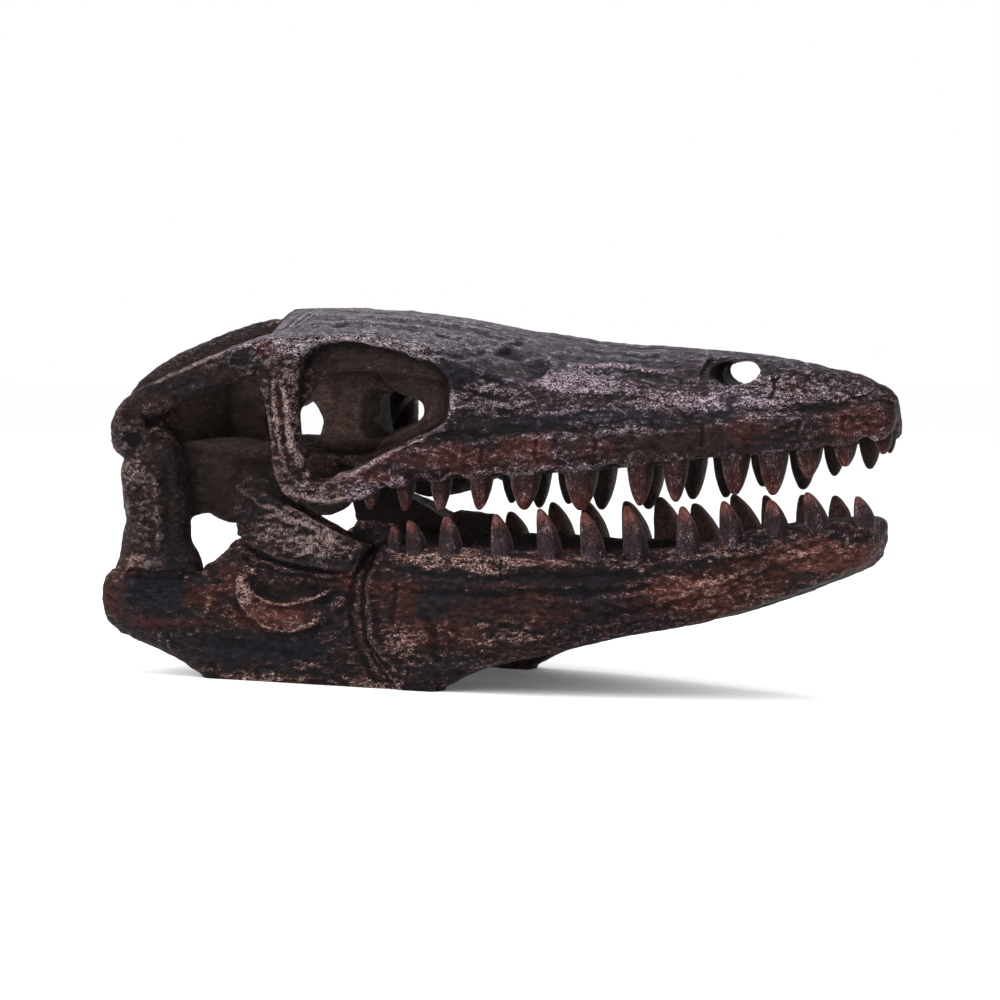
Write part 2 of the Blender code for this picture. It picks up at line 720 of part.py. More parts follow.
def parted(whole, bones, last_name):
    """The whole cut into bones: name, paired or not, and the piece (the right one of a pair)."""
    pieces = []
    for name, paired, inner, outer, outline in bones:
        low = inner if paired else -outer
        bone = taken_out(whole, name, outline, low, outer)
        wide = grown(outline, GAP)
        cut(whole, prism("block", wide, low - GAP, outer + GAP), solver=SKIN_SOLVER)
        if paired:
            cut(whole, prism("block", wide, -outer - GAP, -low + GAP), solver=SKIN_SOLVER)
        pieces.append((name, paired, bone))
    whole.name = last_name
    largest_piece(whole)
    return pieces, whole


def tooth_row(teeth, side, upper, low_x=0.0, high_x=400.0):
    """Teeth in one bone; side is 1 for the right and -1 for the left."""
    row = []
    for x, width, height, back in teeth:
        if not low_x < x < high_x:
            continue
        if upper:
            w = max(2.6, read_off(SNOUT, x, 1) - UPPER_ROW_INSET)
            base = Vector((x, side * w, read_off(SNOUT, x, 2)))
            height = -height
        else:
            w = max(3.2, read_off(DENTARY, x, 1) + LOWER_ROW_OFFSET)
            base = Vector((x, side * w, read_off(DENTARY, x, 4) - 0.8))
        tip = base + Vector((-back, 0, height))
        row.append(tooth("tooth", base, tip, width, width * TOOTH_THICKNESS))
    return row


def add_teeth(bone, teeth):
    row = joined("row", teeth)
    boolean(bone, row, "UNION")
    drop(row)


# ---------------------------------------------------------------- finished nodes


def material(name, look):
    colour, roughness = MATERIALS[look]
    made = bpy.data.materials.new(name)
    made.use_nodes = True
    shader = made.node_tree.nodes["Principled BSDF"]
    shader.inputs["Base Color"].default_value = colour
    shader.inputs["Roughness"].default_value = roughness
    shader.inputs["Metallic"].default_value = 0.0
    return made


def mirrored_copy(shape):
    twin = shape.copy()
    twin.data = shape.data.copy()
    bpy.context.scene.collection.objects.link(twin)
    body = bmesh.new()
    body.from_mesh(twin.data)
    bmesh.ops.scale(body, vec=(1, -1, 1), verts=body.verts)
    bmesh.ops.reverse_faces(body, faces=body.faces)
    body.to_mesh(twin.data)
    body.free()
    return twin


def finish_node(shape, name, look, skull):
    """Names the bone, puts its origin in its own middle, and hangs it on the skull."""
    shape.name = name
    shape.data.name = name
    shape.data.materials.clear()
    shape.data.materials.append(material(name, look))
    shape.data.shade_smooth()
    shape.data.set_sharp_from_angle(angle=math.radians(50))
    corners = [Vector(c) for c in shape.bound_box]
    middle = sum(corners, Vector()) / len(corners)
    shape.data.transform(Matrix.Translation(-middle))
    shape.location = middle
    shape.parent = skull


def build_cranium(skull):
    pieces, case = parted(cranium(), CRANIUM_BONES, LAST_CRANIUM_BONE)
    for name, paired, bone in pieces:
        left = mirrored_copy(bone) if paired else bone
        if name == "premaxilla":
            add_teeth(bone, tooth_row(UPPER_RIGHT_TEETH, 1, True, low_x=PREMAXILLA_SUTURE))
            add_teeth(bone, tooth_row(UPPER_LEFT_TEETH, -1, True, low_x=PREMAXILLA_SUTURE))
        if name == "maxilla":
            add_teeth(bone, tooth_row(UPPER_RIGHT_TEETH, 1, True, high_x=PREMAXILLA_SUTURE))
            add_teeth(left, tooth_row(UPPER_LEFT_TEETH, -1, True, high_x=PREMAXILLA_SUTURE))
        finish_node(bone, name + "_right" * paired, "bone", skull)
        if paired:
            finish_node(left, name + "_left", "bone", skull)
    finish_node(case, LAST_CRANIUM_BONE, "bone", skull)


def build_mandible(skull):
    half = mandible()
    pieces, rear = parted(half, MANDIBLE_BONES, LAST_MANDIBLE_BONE)
    for name, _, bone in [*pieces, (LAST_MANDIBLE_BONE, True, rear)]:
        left = mirrored_copy(bone)
        if name == "dentary":
            add_teeth(bone, tooth_row(LOWER_RIGHT_TEETH, 1, False))
            add_teeth(left, tooth_row(LOWER_LEFT_TEETH, -1, False))
        finish_node(bone, name + "_right", "jaw", skull)
        finish_node(left, name + "_left", "jaw", skull)


def centre_on_origin(skull):
    """Moves the skull along its length, so that the origin is under the middle of the whole."""
    bpy.context.view_layer.update()
    along = [(bone.matrix_world @ Vector(c)).x for bone in skull.children for c in bone.bound_box]
    skull.location.x -= 0.5 * (min(along) + max(along))
    bpy.context.view_layer.update()


def main():
    for old in list(bpy.data.objects):
        bpy.data.objects.remove(old)
    skull = bpy.data.objects.new("skull", None)
    bpy.context.scene.collection.objects.link(skull)
    build_cranium(skull)
    build_mandible(skull)
    centre_on_origin(skull)


main()
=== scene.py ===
"""Looks of the painted cast mosasaur skull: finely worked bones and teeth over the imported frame.

Skull coordinates, in millimetres: x runs forward from near the hindmost point of the jaws, w outward from
the mid-plane (positive on the right side), z up from the floor. The frame has x - MIDDLE along +X and -w
along +Y.
"""

import json
import math
from contextlib import contextmanager

import bmesh
import bpy
import numpy as np
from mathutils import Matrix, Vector
from mathutils.kdtree import KDTree


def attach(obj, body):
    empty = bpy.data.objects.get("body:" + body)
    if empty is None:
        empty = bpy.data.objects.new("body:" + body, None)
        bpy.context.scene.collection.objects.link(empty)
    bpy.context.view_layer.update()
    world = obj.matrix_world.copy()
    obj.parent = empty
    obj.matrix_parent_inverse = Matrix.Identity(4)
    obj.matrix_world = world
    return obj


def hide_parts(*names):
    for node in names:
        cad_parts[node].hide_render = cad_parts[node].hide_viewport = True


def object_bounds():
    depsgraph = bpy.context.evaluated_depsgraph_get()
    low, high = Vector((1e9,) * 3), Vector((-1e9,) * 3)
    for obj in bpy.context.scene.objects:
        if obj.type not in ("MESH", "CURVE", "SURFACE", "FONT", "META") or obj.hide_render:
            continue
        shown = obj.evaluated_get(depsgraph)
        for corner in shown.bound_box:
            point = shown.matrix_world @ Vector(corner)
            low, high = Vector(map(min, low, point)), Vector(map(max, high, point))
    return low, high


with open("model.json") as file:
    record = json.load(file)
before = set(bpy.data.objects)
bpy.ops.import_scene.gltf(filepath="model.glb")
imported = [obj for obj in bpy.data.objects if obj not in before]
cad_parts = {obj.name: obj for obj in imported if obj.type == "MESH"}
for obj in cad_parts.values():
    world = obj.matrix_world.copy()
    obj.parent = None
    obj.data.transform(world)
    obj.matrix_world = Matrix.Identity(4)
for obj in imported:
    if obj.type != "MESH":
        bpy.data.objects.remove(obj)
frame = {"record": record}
CAD_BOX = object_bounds()

MM = 0.001
MIDDLE = 158.816  # x of the frame's origin
VOXEL = 0.7  # size of the cells in which forms are fused
PAST_MIDLINE = 4.0  # how much of the left side the right half keeps until it is mirrored
JAW_JOINT_HEIGHT = 43.0  # where the quadrate stands on the lower jaw
SOLVER = "MANIFOLD"  # EXACT opens edges of the dense skins and loses volume there
REAR, FRONT = -20, 350  # x past the skull's ends
UNDER, OVER = -20, 200  # z past its lowest and highest places
OUTSIDE = 80  # w past its widest place
JAW_INSIDE, JAW_OUTSIDE = 20, 70  # w on either side of the rear of the lower jaw
JOINT_FRONT, JOINT_OVER = 46, 90  # x and z to which the block reaches that levels the jaw's joint
SEAM = 0.000001  # metres within which the halves are sewn together
SIDE_WORDS = {1: "_right", -1: "_left"}


def rectangle(low_x, low_z, high_x, high_z):
    return [(low_x, low_z), (low_x, high_z), (high_x, high_z), (high_x, low_z)]


# Upper jaw and snout: x, half width, margin height, top height, palate height, side power, top power
SNOUT = [
    (108, 46.5, 80.0, 148.0, 90, 6.0, 0.50),
    (135, 45.5, 81.0, 145.0, 91, 5.5, 0.50),
    (150, 44.5, 82.0, 142.5, 92, 5.0, 0.50),
    (165, 43.0, 83.0, 140.3, 92, 4.0, 0.52),
    (184, 41.0, 84.4, 137.8, 93, 3.0, 0.56),
    (200, 38.0, 85.4, 135.5, 94, 2.6, 0.62),
    (213, 35.0, 86.6, 134.3, 95, 2.3, 0.66),
    (225, 31.6, 88.2, 133.8, 97, 2.1, 0.70),
    (238, 27.4, 90.4, 133.4, 98, 2.0, 0.72),
    (255, 23.0, 91.6, 131.8, 100, 2.0, 0.75),
    (270, 19.5, 93.2, 130.5, 101, 2.0, 0.75),
    (283, 17.0, 94.6, 128.4, 102, 2.0, 0.72),
    (297, 14.0, 96.6, 125.0, 102, 2.0, 0.65),
    (306, 12.0, 97.8, 122.3, 102, 2.0, 0.58),
    (313, 10.0, 98.6, 119.6, 103, 2.2, 0.52),
    (318, 7.4, 99.8, 116.2, 104, 2.2, 0.50),
    (320.6, 4.0, 102.0, 111.4, 106, 2.2, 0.50),
]
# Skull roof: x, half width, edge height, mid-line height, thickness
ROOF = [
    (60, 11, 146.0, 149.5, 9.0),
    (66, 26, 141.0, 150.0, 9.0),
    (72, 42, 136.0, 150.3, 9.0),
    (80, 48, 135.0, 150.0, 9.0),
    (90, 48, 136.5, 149.8, 8.5),
    (100, 47, 138.0, 149.0, 8.0),
    (115, 46, 138.5, 148.0, 8.0),
    (130, 45, 136.8, 146.3, 8.0),
    (145, 44, 132.5, 144.0, 8.0),
    (157, 42, 128.0, 142.0, 9.0),
    (168, 39, 122.0, 140.0, 9.0),
]
# Braincase: x, half width, lower and upper height
BRAINCASE = [
    (9, 8, 97, 123),
    (13, 13, 91, 126),
    (20, 16, 87, 131),
    (32, 17, 85, 137),
    (45, 16, 85, 142.5),
    (55, 14, 86, 147),
    (66, 12.5, 86, 149.0),
    (84, 13, 86, 149.0),
]
CREST_SHARE = 0.4  # the braincase's width at its crest, of that at its widest
# Floor of the braincase and palate: x, half width, lower and upper height
SKULL_FLOOR = [
    (40, 15, 83, 92),
    (62, 18, 84, 91),
    (85, 22, 85, 91),
    (105, 28, 85, 91),
    (125, 36, 84, 91),
    (146, 41, 85, 93),
]
# Bars of bone: x, w, z, half thickness outward, half depth in the side view
PILLAR = [(91, 0, 88, 17, 17), (91, 0, 100, 14, 16), (91, 0, 120, 12, 15), (91, 0, 136, 13, 18)]
JUGAL = [
    (84.5, 46.5, 92, 4.6, 6.5),
    (87.0, 46.5, 82, 4.8, 6.8),
    (94.0, 46.5, 77, 5.0, 6.2),
    (104.0, 46.3, 76.4, 5.0, 5.4),
    (117.0, 45.8, 79.4, 5.0, 5.6),
    (130.0, 45.0, 84.5, 5.0, 7.0),
    (145.0, 43.0, 90.0, 5.0, 8.5),
    (160.0, 40.0, 94.0, 4.5, 9.0),
]
POSTORBITAL = [
    (84.5, 46.5, 86, 4.6, 6.4),
    (84.0, 46.8, 98, 4.6, 6.6),
    (82.5, 47.0, 112, 4.6, 7.6),
    (81.0, 46.5, 124, 4.8, 10.5),
    (80.5, 44.5, 136, 5.0, 15.0),
]
TEMPORAL_ARCH = [
    (78, 45.5, 131.0, 5.0, 7.5),
    (66, 46.5, 128.6, 4.8, 7.0),
    (52, 47.6, 124.0, 4.8, 6.6),
    (38, 48.6, 118.8, 4.8, 6.6),
    (24, 49.5, 113.0, 5.2, 7.0),
    (14, 50.0, 106.5, 5.8, 8.0),
    (10.4, 50.0, 99.5, 6.2, 8.2),
    (10.0, 50.0, 92.5, 5.8, 7.2),
]
PARIETAL_RAMUS = [
    (54, 5, 140.5, 6.0, 5.5),
    (40, 14, 136.2, 5.0, 5.5),
    (27, 28, 128.6, 4.6, 5.5),
    (16, 42, 117.0, 4.6, 5.5),
    (12, 48, 108.0, 4.6, 5.5),
]
OCCIPUT = [(30, 6, 106, 8, 17), (26, 26, 104, 8, 17), (18, 45, 99, 8, 14)]
QUADRATE = [
    (19.4, 47.5, 98, 6.5, 8.5),
    (20.9, 47.5, 88, 8.0, 13.5),
    (21.0, 47.5, 77, 8.6, 15.4),
    (22.4, 47.2, 64, 7.8, 14.8),
    (21.6, 47.4, 54, 8.0, 16.4),
    (22.6, 47.8, 45, 8.4, 20.5),
    (22.6, 48.0, 38, 8.4, 21.5),
]
PTERYGOID = [
    (30, 43, 78, 4.0, 15.5),
    (41, 37.5, 78.5, 3.7, 13.0),
    (50, 33, 76.5, 3.6, 15.5),
    (60, 29, 77.5, 3.6, 14.0),
    (74, 25, 82.5, 3.8, 8.5),
    (92, 22, 86.5, 4.5, 4.5),
]
PTERYGOID_SHELF = [
    (30, 38, 90, 5, 5), (44, 31, 91, 8, 6), (58, 26, 91, 8, 5), (72, 21, 90, 7, 4), (84, 17, 89, 5, 3),
]
ORBIT_CORNER = [
    (80, 43, 104, 3, 3), (85, 41, 114, 4, 5), (90, 39, 124, 4, 7), (97, 37, 130, 4, 8),
    (108, 35, 132, 4, 8.5), (122, 33, 131.5, 4, 8.5), (138, 30, 129, 4, 8), (152, 27, 124, 4, 6),
]
# The orbit's rim in the side view: x, z
ORBIT_RIM = [
    (90.5, 104),
    (90.5, 122),
    (95.5, 132),
    (107, 135.5),
    (124, 134),
    (141, 130),
    (154, 123.5),
    (157.5, 113),
    (153, 101.5),
    (137, 94),
    (119, 86.5),
    (106, 81.8),
    (96.5, 86),
    (91.5, 94),
]
# The orbit narrows inward: w, share of the rim's size, x and z of its middle
ORBIT_DEPTHS = [
    (62, 1.06, 123.5, 109.5),
    (46, 1.00, 123.5, 109.5),
    (36, 0.92, 122.5, 109.5),
    (24, 0.74, 119.0, 109.0),
    (12, 0.46, 113.0, 107.5),
    (0, 0.31, 110.0, 106.5),
    (-6, 0.29, 109.5, 106.5),
]
# Hollows: centre x, w, z and radii along x, w, z
TEMPORAL_HOLLOW = ((58, 28.5, 108), (37, 14.0, 19))
BRAINCASE_WINDOW = ((65.2, 0, 103.5), (14.0, 40, 10.5))
NARIS = ((260.0, 6, 122.6), (9.4, 16, 5.2))

# Lower jaw behind the dentary: x, mid w, half thickness, lower and upper height
POSTDENTARY = [
    (-2.6, 48.5, 4.4, 26.5, 36.5),
    (0.0, 48.2, 6.3, 19.5, 42.0),
    (8, 47.6, 7.4, 15.0, 46.5),
    (22, 46.6, 7.8, 10.5, 46.5),
    (36, 45.6, 7.5, 4.5, 46.0),
    (44, 45.1, 7.3, 0.0, 46.0),
    (49, 44.8, 7.2, -6.0, 47.5),
    (55, 44.4, 7.1, -6.0, 52.0),
    (63, 43.9, 7.0, -6.0, 57.5),
    (90, 42.5, 6.6, -6.0, 57.0),
    (110, 41.3, 6.3, -6.0, 54.5),
    (134, 40.0, 5.6, -6.0, 50.0),
]
DENTARY = [
    (118.5, 41.6, 6.2, -6.0, 54.6),
    (122, 41.4, 6.8, -6.0, 56.2),
    (146.5, 39.5, 6.8, -6.0, 56.6),
    (150.5, 39.2, 6.8, 0.2, 56.6),
    (153.5, 39.0, 6.8, 2.2, 56.6),
    (164, 38.2, 6.8, 7.4, 56.5),
    (175, 37.2, 6.8, 11.2, 56.4),
    (200, 32.7, 6.7, 17.4, 56.2),
    (222, 26.8, 6.6, 23.2, 56.2),
    (231, 24.2, 6.5, 25.0, 56.4),
    (247, 19.4, 6.4, 28.2, 58.2),
    (261, 15.8, 6.3, 32.4, 62.0),
    (273, 13.2, 6.4, 36.6, 65.2),
    (289, 9.6, 7.0, 42.6, 67.2),
    (301, 6.8, 6.8, 47.6, 68.8),
    (307, 5.5, 6.2, 50.2, 69.6),
    (311.8, 4.8, 5.4, 53.4, 69.6),
    (314.4, 4.2, 4.2, 58.5, 68.6),
]
DENTARY_INNER_RISE = 2.4  # the jaw's top edge on the tongue's side, over that on the outer side
# Plates: w, how far the outline is shrunk there, and the outline in the side view
CORONOID_OUTER = [
    (64, 78), (63, 68), (65, 59.5), (72, 55), (84, 51), (100, 48), (118, 47.5), (121, 56), (110, 60),
    (94, 67.5), (80, 73.4), (71, 77),
]
CORONOID_INNER = [
    (61, 82.5), (60.5, 71), (64, 60), (72, 56), (84, 52), (100, 49), (118, 48), (121, 56), (110, 59.5),
    (94, 67.2), (80, 75.6), (70, 81.6),
]
CORONOID = [
    (40.5, 1.5, CORONOID_INNER),
    (43, 0, CORONOID_INNER),
    (49.5, 0, CORONOID_OUTER),
    (52, 1.8, CORONOID_OUTER),
]
INNER_PLATE_OUTLINE = [
    (106, 48), (109.5, 59), (113.5, 64.6), (122, 64.6), (131, 63.6), (135, 58.5), (142, 56), (146, 48),
]
INNER_PLATE = [
    (36.5, 1.0, INNER_PLATE_OUTLINE),
    (37.5, 0, INNER_PLATE_OUTLINE),
    (40.5, 0, INNER_PLATE_OUTLINE),
    (41.5, 1.0, INNER_PLATE_OUTLINE),
]
FOSSA_LIP = [
    (65.0, 49.2, 42.0, 2.6, 3.2),
    (68.0, 49.2, 33.0, 3.0, 4.0),
    (77.0, 48.8, 27.0, 3.2, 4.4),
    (89.0, 48.2, 25.0, 3.2, 4.4),
    (101.0, 47.2, 28.0, 2.8, 3.8),
    (111.0, 46.4, 35.0, 2.2, 2.8),
]

# Teeth, rear to front: x, width at the base, height, how far back the tip lies
UPPER_RIGHT_TEETH = [
    (120.0, 8.0, 10.7, 0.0),
    (135.8, 8.0, 11.6, 0.5),
    (150.9, 8.8, 12.1, 0.3),
    (167.6, 9.6, 12.6, 1.0),
    (185.5, 12.2, 13.6, 0.6),
    (207.1, 13.8, 15.0, 0.4),
    (228.8, 10.6, 15.7, 0.3),
    (241.5, 10.6, 16.0, 0.0),
    (263.4, 11.4, 14.9, 0.3),
    (277.2, 12.0, 16.3, 0.2),
    (290.2, 10.4, 11.5, 0.3),
    (303.1, 9.6, 8.8, 0.0),
    (316.2, 7.0, 6.2, 0.0),
]
UPPER_LEFT_TEETH = [
    (126.0, 8.0, 11.5, 0.3),
    (139.4, 9.2, 12.5, 0.3),
    (153.0, 10.4, 15.0, 0.4),
    (167.4, 10.4, 14.0, 0.5),
    (183.4, 12.4, 17.0, 0.6),
    (206.4, 13.4, 17.6, 0.6),
    (228.0, 11.4, 15.6, 0.3),
    (243.8, 11.0, 16.4, 0.2),
    (261.0, 10.4, 13.0, 0.2),
    (278.8, 11.8, 15.5, 0.2),
    (292.4, 9.2, 11.8, 0.2),
    (307.3, 9.0, 10.7, 0.0),
    (316.0, 5.0, 6.0, 0.0),
]
LOWER_RIGHT_TEETH = [
    (132.4, 6.4, 8.0, 0.6),
    (141.0, 8.0, 10.4, 1.8),
    (155.5, 8.8, 12.2, 0.4),
    (177.0, 8.6, 13.8, 1.4),
    (195.5, 9.2, 16.2, 2.8),
    (211.8, 9.4, 15.2, 2.6),
    (227.6, 9.2, 17.6, 2.4),
    (246.6, 9.2, 15.9, 1.2),
    (262.3, 9.0, 13.8, 1.8),
    (278.6, 9.2, 10.8, 0.8),
    (293.2, 9.0, 12.0, 2.4),
    (310.4, 7.8, 9.0, 1.6),
]
LOWER_LEFT_TEETH = [
    (140.6, 10.0, 9.5, 1.5),
    (162.4, 11.0, 14.0, 2.5),
    (178.6, 11.5, 15.2, 2.5),
    (199.2, 12.0, 16.0, 3.0),
    (216.0, 13.0, 18.3, 3.0),
    (233.8, 12.5, 15.8, 3.3),
    (253.4, 12.5, 16.6, 4.0),
    (265.0, 9.0, 13.8, 2.0),
    (280.4, 9.0, 11.5, 1.0),
    (294.4, 9.0, 9.8, 0.6),
]
UPPER_ROW_INSET = 4.4  # from the upper jaw's outer face to the middle of the tooth row
LOWER_ROW_OFFSET = 2.4  # from the middle of the lower jaw out to the middle of its tooth row
TOOTH_THICKNESS = 0.82

# Bones in the order they are cut out: name, inner w (None for one bone across the mid-plane), outer w,
# outline in x, z
CRANIUM_BONES = [
    ("premaxilla", None, 60, [(298, 60), (298, 103), (288, 112), (288, 150), (330, 150), (330, 60)]),
    ("maxilla", 0.0, 60, [(112, 60), (112, 84.5), (146, 96), (160, 108), (166, 150), (330, 150), (330, 60)]),
    ("quadrate", 33, 60, [(-10, 30), (-10, 88.5), (37, 88.5), (48, 84), (48, 30)]),
    ("squamosal", 33, 60, [(-10, 85), (-10, 150), (52, 150), (58, 100), (30, 85)]),
    ("pterygoid", 19.5, 40.5, [(20, 50), (20, 94), (60, 94), (70, 89), (78, 82), (100, 81), (100, 50)]),
    ("jugal", 33, 60, [(70, 60), (70, 89), (115, 89), (150, 104), (150, 60)]),
    ("postorbital", 33, 60, rectangle(48, 85, 100, 129)),
    ("prefrontal", 14, 60, [(111, 90), (130, 128), (180, 128), (180, 90)]),
    ("parietal", None, 60, rectangle(-10, 126, 72, 160)),
    ("frontal", None, 60, rectangle(60, 125, 180, 160)),
]
LAST_CRANIUM_BONE = "braincase"
DENTARY_SUTURE = [(129, 60), (124, 52), (121, 45), (119.6, 34), (121, 22), (125, 12), (131, 5), (138, -5)]
MANDIBLE_BONES = [
    ("dentary", 0.0, 60, DENTARY_SUTURE + [(330, -5), (330, 90), (129, 90)]),
    ("coronoid", 30, 60, [(58, 58.5), (69, 57.8), (80, 52.8), (97, 47.6), (118, 46.6), (124, 90), (58, 90)]),
    ("articular", 30, 60, [(-10, -5), (-10, 60), (50, 60), (53, 30), (47, -5)]),
]
LAST_MANDIBLE_BONE = "surangular"


# ---------------------------------------------------------------- shapes


def placed(name, data):
    """A new object with the given data, in the scene."""
    made = bpy.data.objects.new(name, data)
    bpy.context.scene.collection.objects.link(made)
    return made


def duplicate(shape):
    twin = shape.copy()
    twin.data = shape.data.copy()
    bpy.context.scene.collection.objects.link(twin)
    return twin


@contextmanager
def edited(mesh):
    """The mesh's faces, edges and vertices open to changes, which are written back at the end."""
    body = bmesh.new()
    body.from_mesh(mesh)
    yield body
    body.to_mesh(mesh)
    body.free()


def add_object(name, points, faces):
    mesh = bpy.data.meshes.new(name)
    mesh.from_pydata([to_row(*p) for p in points], [], faces)
    with edited(mesh) as body:
        bmesh.ops.recalc_face_normals(body, faces=body.faces)
        if body.calc_volume(signed=True) < 0:
            bmesh.ops.reverse_faces(body, faces=body.faces)
    return placed(name, mesh)


def skin_over(name, rings):
    """A closed mesh over a row of rings that each hold the same number of points."""
    count = len(rings[0])
    points = [p for ring in rings for p in ring]
    faces = [list(range(count))[::-1], [len(points) - count + i for i in range(count)]]
    for start in range(0, len(points) - count, count):
        for i in range(count):
            j = (i + 1) % count
            faces.append([start + i, start + j, start + count + j, start + count + i])
    return add_object(name, points, faces)


def between(rows, steps):
    """A smooth run of rows through the given ones (Catmull-Rom)."""
    rows = [Vector(r) for r in rows]
    padded = [2 * rows[0] - rows[1], *rows, 2 * rows[-1] - rows[-2]]
    found = []
    for a, b, c, d in zip(padded, padded[1:], padded[2:], padded[3:]):
        for step in range(steps):
            t = step / steps
            found.append(
                b + 0.5 * t * (c - a + t * (2 * a - 5 * b + 4 * c - d + t * (3 * (b - c) + d - a)))
            )
    return [*found, rows[-1]]


def read_off(rows, x, column):
    """The value in a column of a table of stations at x, in straight lines between them."""
    for low, high in zip(rows, rows[1:]):
        if x <= high[0]:
            share = max(0.0, (x - low[0]) / (high[0] - low[0]))
            return low[column] + share * (high[column] - low[column])
    return rows[-1][column]


def power(value, exponent):
    return math.copysign(abs(value) ** exponent, value)


# How a bar's end is rounded: distance onward, in half thicknesses, and share of the section left there
BAR_END = [(0.0, 1.0), (0.35, 0.8), (0.55, 0.45)]


def bar(name, rows, roundness=2.4, sides=24):
    """A bar of bone along a smooth path: its thickness lies outward, its depth across its run."""
    path = between(rows, steps=6)
    centres = [Vector(p[:3]) for p in path]
    across = centres[-1] - centres[0]
    lateral = Vector((1, 0, 0)) if abs(across.y) > 0.9 * across.length else Vector((0, 1, 0))
    rings = []
    for i, (x, w, z, thickness, depth) in enumerate(path):
        run = (centres[min(i + 1, len(centres) - 1)] - centres[max(i - 1, 0)]).normalized()
        side = (lateral - lateral.dot(run) * run).normalized()
        up = run.cross(side)
        ends = BAR_END[:1]
        if i == 0:
            ends = [(-onward, size) for onward, size in BAR_END[::-1]]
        if i == len(path) - 1:
            ends = BAR_END
        for onward, size in ends:
            centre = centres[i] + run * onward * thickness
            rings.append(
                [
                    centre
                    + side * thickness * size * power(math.cos(turn), 2 / roundness)
                    + up * depth * size * power(math.sin(turn), 2 / roundness)
                    for turn in (2 * math.pi * k / sides for k in range(sides))
                ]
            )
    return skin_over(name, rings)


def snout_ring(x, half_width, margin, top, palate, side_power, top_power, steps=14):
    """The snout's section: an arch over the tooth margins, and a vault between them."""
    arch = []
    for k in range(steps):
        rise = math.sin(0.5 * math.pi * k / steps)
        wide = half_width * (1 - rise**side_power) ** top_power
        arch.append((wide, margin + (top - margin) * rise))
    shelf = min(12.0, 0.62 * half_width)  # the margin's width on the palate
    vault = [(half_width - 0.25 * shelf, margin - 0.5), (half_width - shelf, margin)]
    vault += [
        ((half_width - shelf) * share, palate - (palate - margin) * share**3) for share in (0.8, 0.45)
    ]
    right = arch[::-1] + vault
    ring = [(0.0, top)] + right + [(0.0, palate)] + [(-w, z) for w, z in right[::-1]]
    return [(x, w, z) for w, z in ring]


def plate_ring(x, half_width, edge, middle, thickness, steps=12):
    """The roof's section: a low dome of even thickness."""
    shares = [math.sin(0.5 * math.pi * k / steps) for k in range(-steps, steps + 1)]
    upper = [(x, half_width * s, edge + (middle - edge) * (1 - abs(s) ** 2.2)) for s in shares]
    lower = [(px, w * 0.97, z - thickness) for px, w, z in upper[::-1]]
    return upper + lower


def slab_ring(x, mid, half_width, low, high, top_share=1.0, inner_rise=0.0, roundness=3.2, sides=32):
    """An upright section with rounded corners; its top may narrow, or rise towards the mid-plane."""
    ring = []
    for turn in (2 * math.pi * k / sides for k in range(sides)):
        height = power(math.sin(turn), 2 / roundness)
        wide = power(math.cos(turn), 2 / roundness)
        lift = inner_rise * max(0.0, height) * max(0.0, -wide)
        narrowing = 1 - (1 - top_share) * max(0.0, height)
        z = 0.5 * (low + high) + 0.5 * (high - low) * height + lift
        ring.append((x, mid + half_width * narrowing * wide, z))
    return ring


def ellipsoid(name, centre, radii, steps):
    rings = []
    for k in range(1, steps):
        polar = math.pi * k / steps
        rings.append(
            [
                (
                    centre[0] + radii[0] * math.sin(polar) * math.cos(turn),
                    centre[1] + radii[1] * math.cos(polar),
                    centre[2] + radii[2] * math.sin(polar) * math.sin(turn),
                )
                for turn in (math.pi * j / steps for j in range(2 * steps))
            ]
        )
    return skin_over(name, rings)


def orbit_bowl():
    """The eye's hollow, with the rim's outline at the skull's side and a small window at the mid-plane."""
    rim = between([*ORBIT_RIM, ORBIT_RIM[0]], steps=3)[:-1]
    mid_x = 0.5 * (min(p[0] for p in rim) + max(p[0] for p in rim))
    mid_z = 0.5 * (min(p[1] for p in rim) + max(p[1] for p in rim))
    rings = []
    for w, share, x, z in between(ORBIT_DEPTHS, steps=3):
        rings.append([(x + share * (p[0] - mid_x), w, z + share * (p[1] - mid_z)) for p in rim])
    return skin_over("orbit_bowl", rings)


def prism(name, outline, inner, outer):
    """A block with the outline in the side view, from inner w to outer w."""
    return skin_over(name, [[(x, w, z) for x, z in outline] for w in (inner, outer)])


def plate(name, layers):
    """A plate from its outlines at several depths, each shrunk by its own distance."""
    return skin_over(name, [[(x, w, z) for x, z in grown(outline, -by)] for w, by, outline in layers])


SHARPEST = 0.3  # cosine past which a corner is grown no farther


def grown(outline, by):
    """The outline moved outward by a distance, corners kept sharp."""
    area = sum(a[0] * b[1] - b[0] * a[1] for a, b in zip(outline, outline[1:] + outline[:1]))
    outward = math.copysign(by, area)
    moved = []
    for before, here, after in zip(outline[-1:] + outline[:-1], outline, outline[1:] + outline[:1]):
        first = Vector((here[0] - before[0], here[1] - before[1])).normalized()
        second = Vector((after[0] - here[0], after[1] - here[1])).normalized()
        normal = (Vector((first.y, -first.x)) + Vector((second.y, -second.x))).normalized()
        reach = outward / max(SHARPEST, normal.dot(Vector((first.y, -first.x))))
        moved.append((here[0] + normal.x * reach, here[1] + normal.y * reach))
    return moved


# ---------------------------------------------------------------- modelling steps


def to_row(x, w, z):
    return Vector(((x - MIDDLE) * MM, -w * MM, z * MM))


def modify(shape, kind, **settings):
    modifier = shape.modifiers.new(kind.lower(), kind)
    for key, value in settings.items():
        setattr(modifier, key, value)
    graph = bpy.context.evaluated_depsgraph_get()
    made = bpy.data.meshes.new_from_object(shape.evaluated_get(graph), depsgraph=graph)
    shape.modifiers.clear()
    old = shape.data
    shape.data = made
    bpy.data.meshes.remove(old)


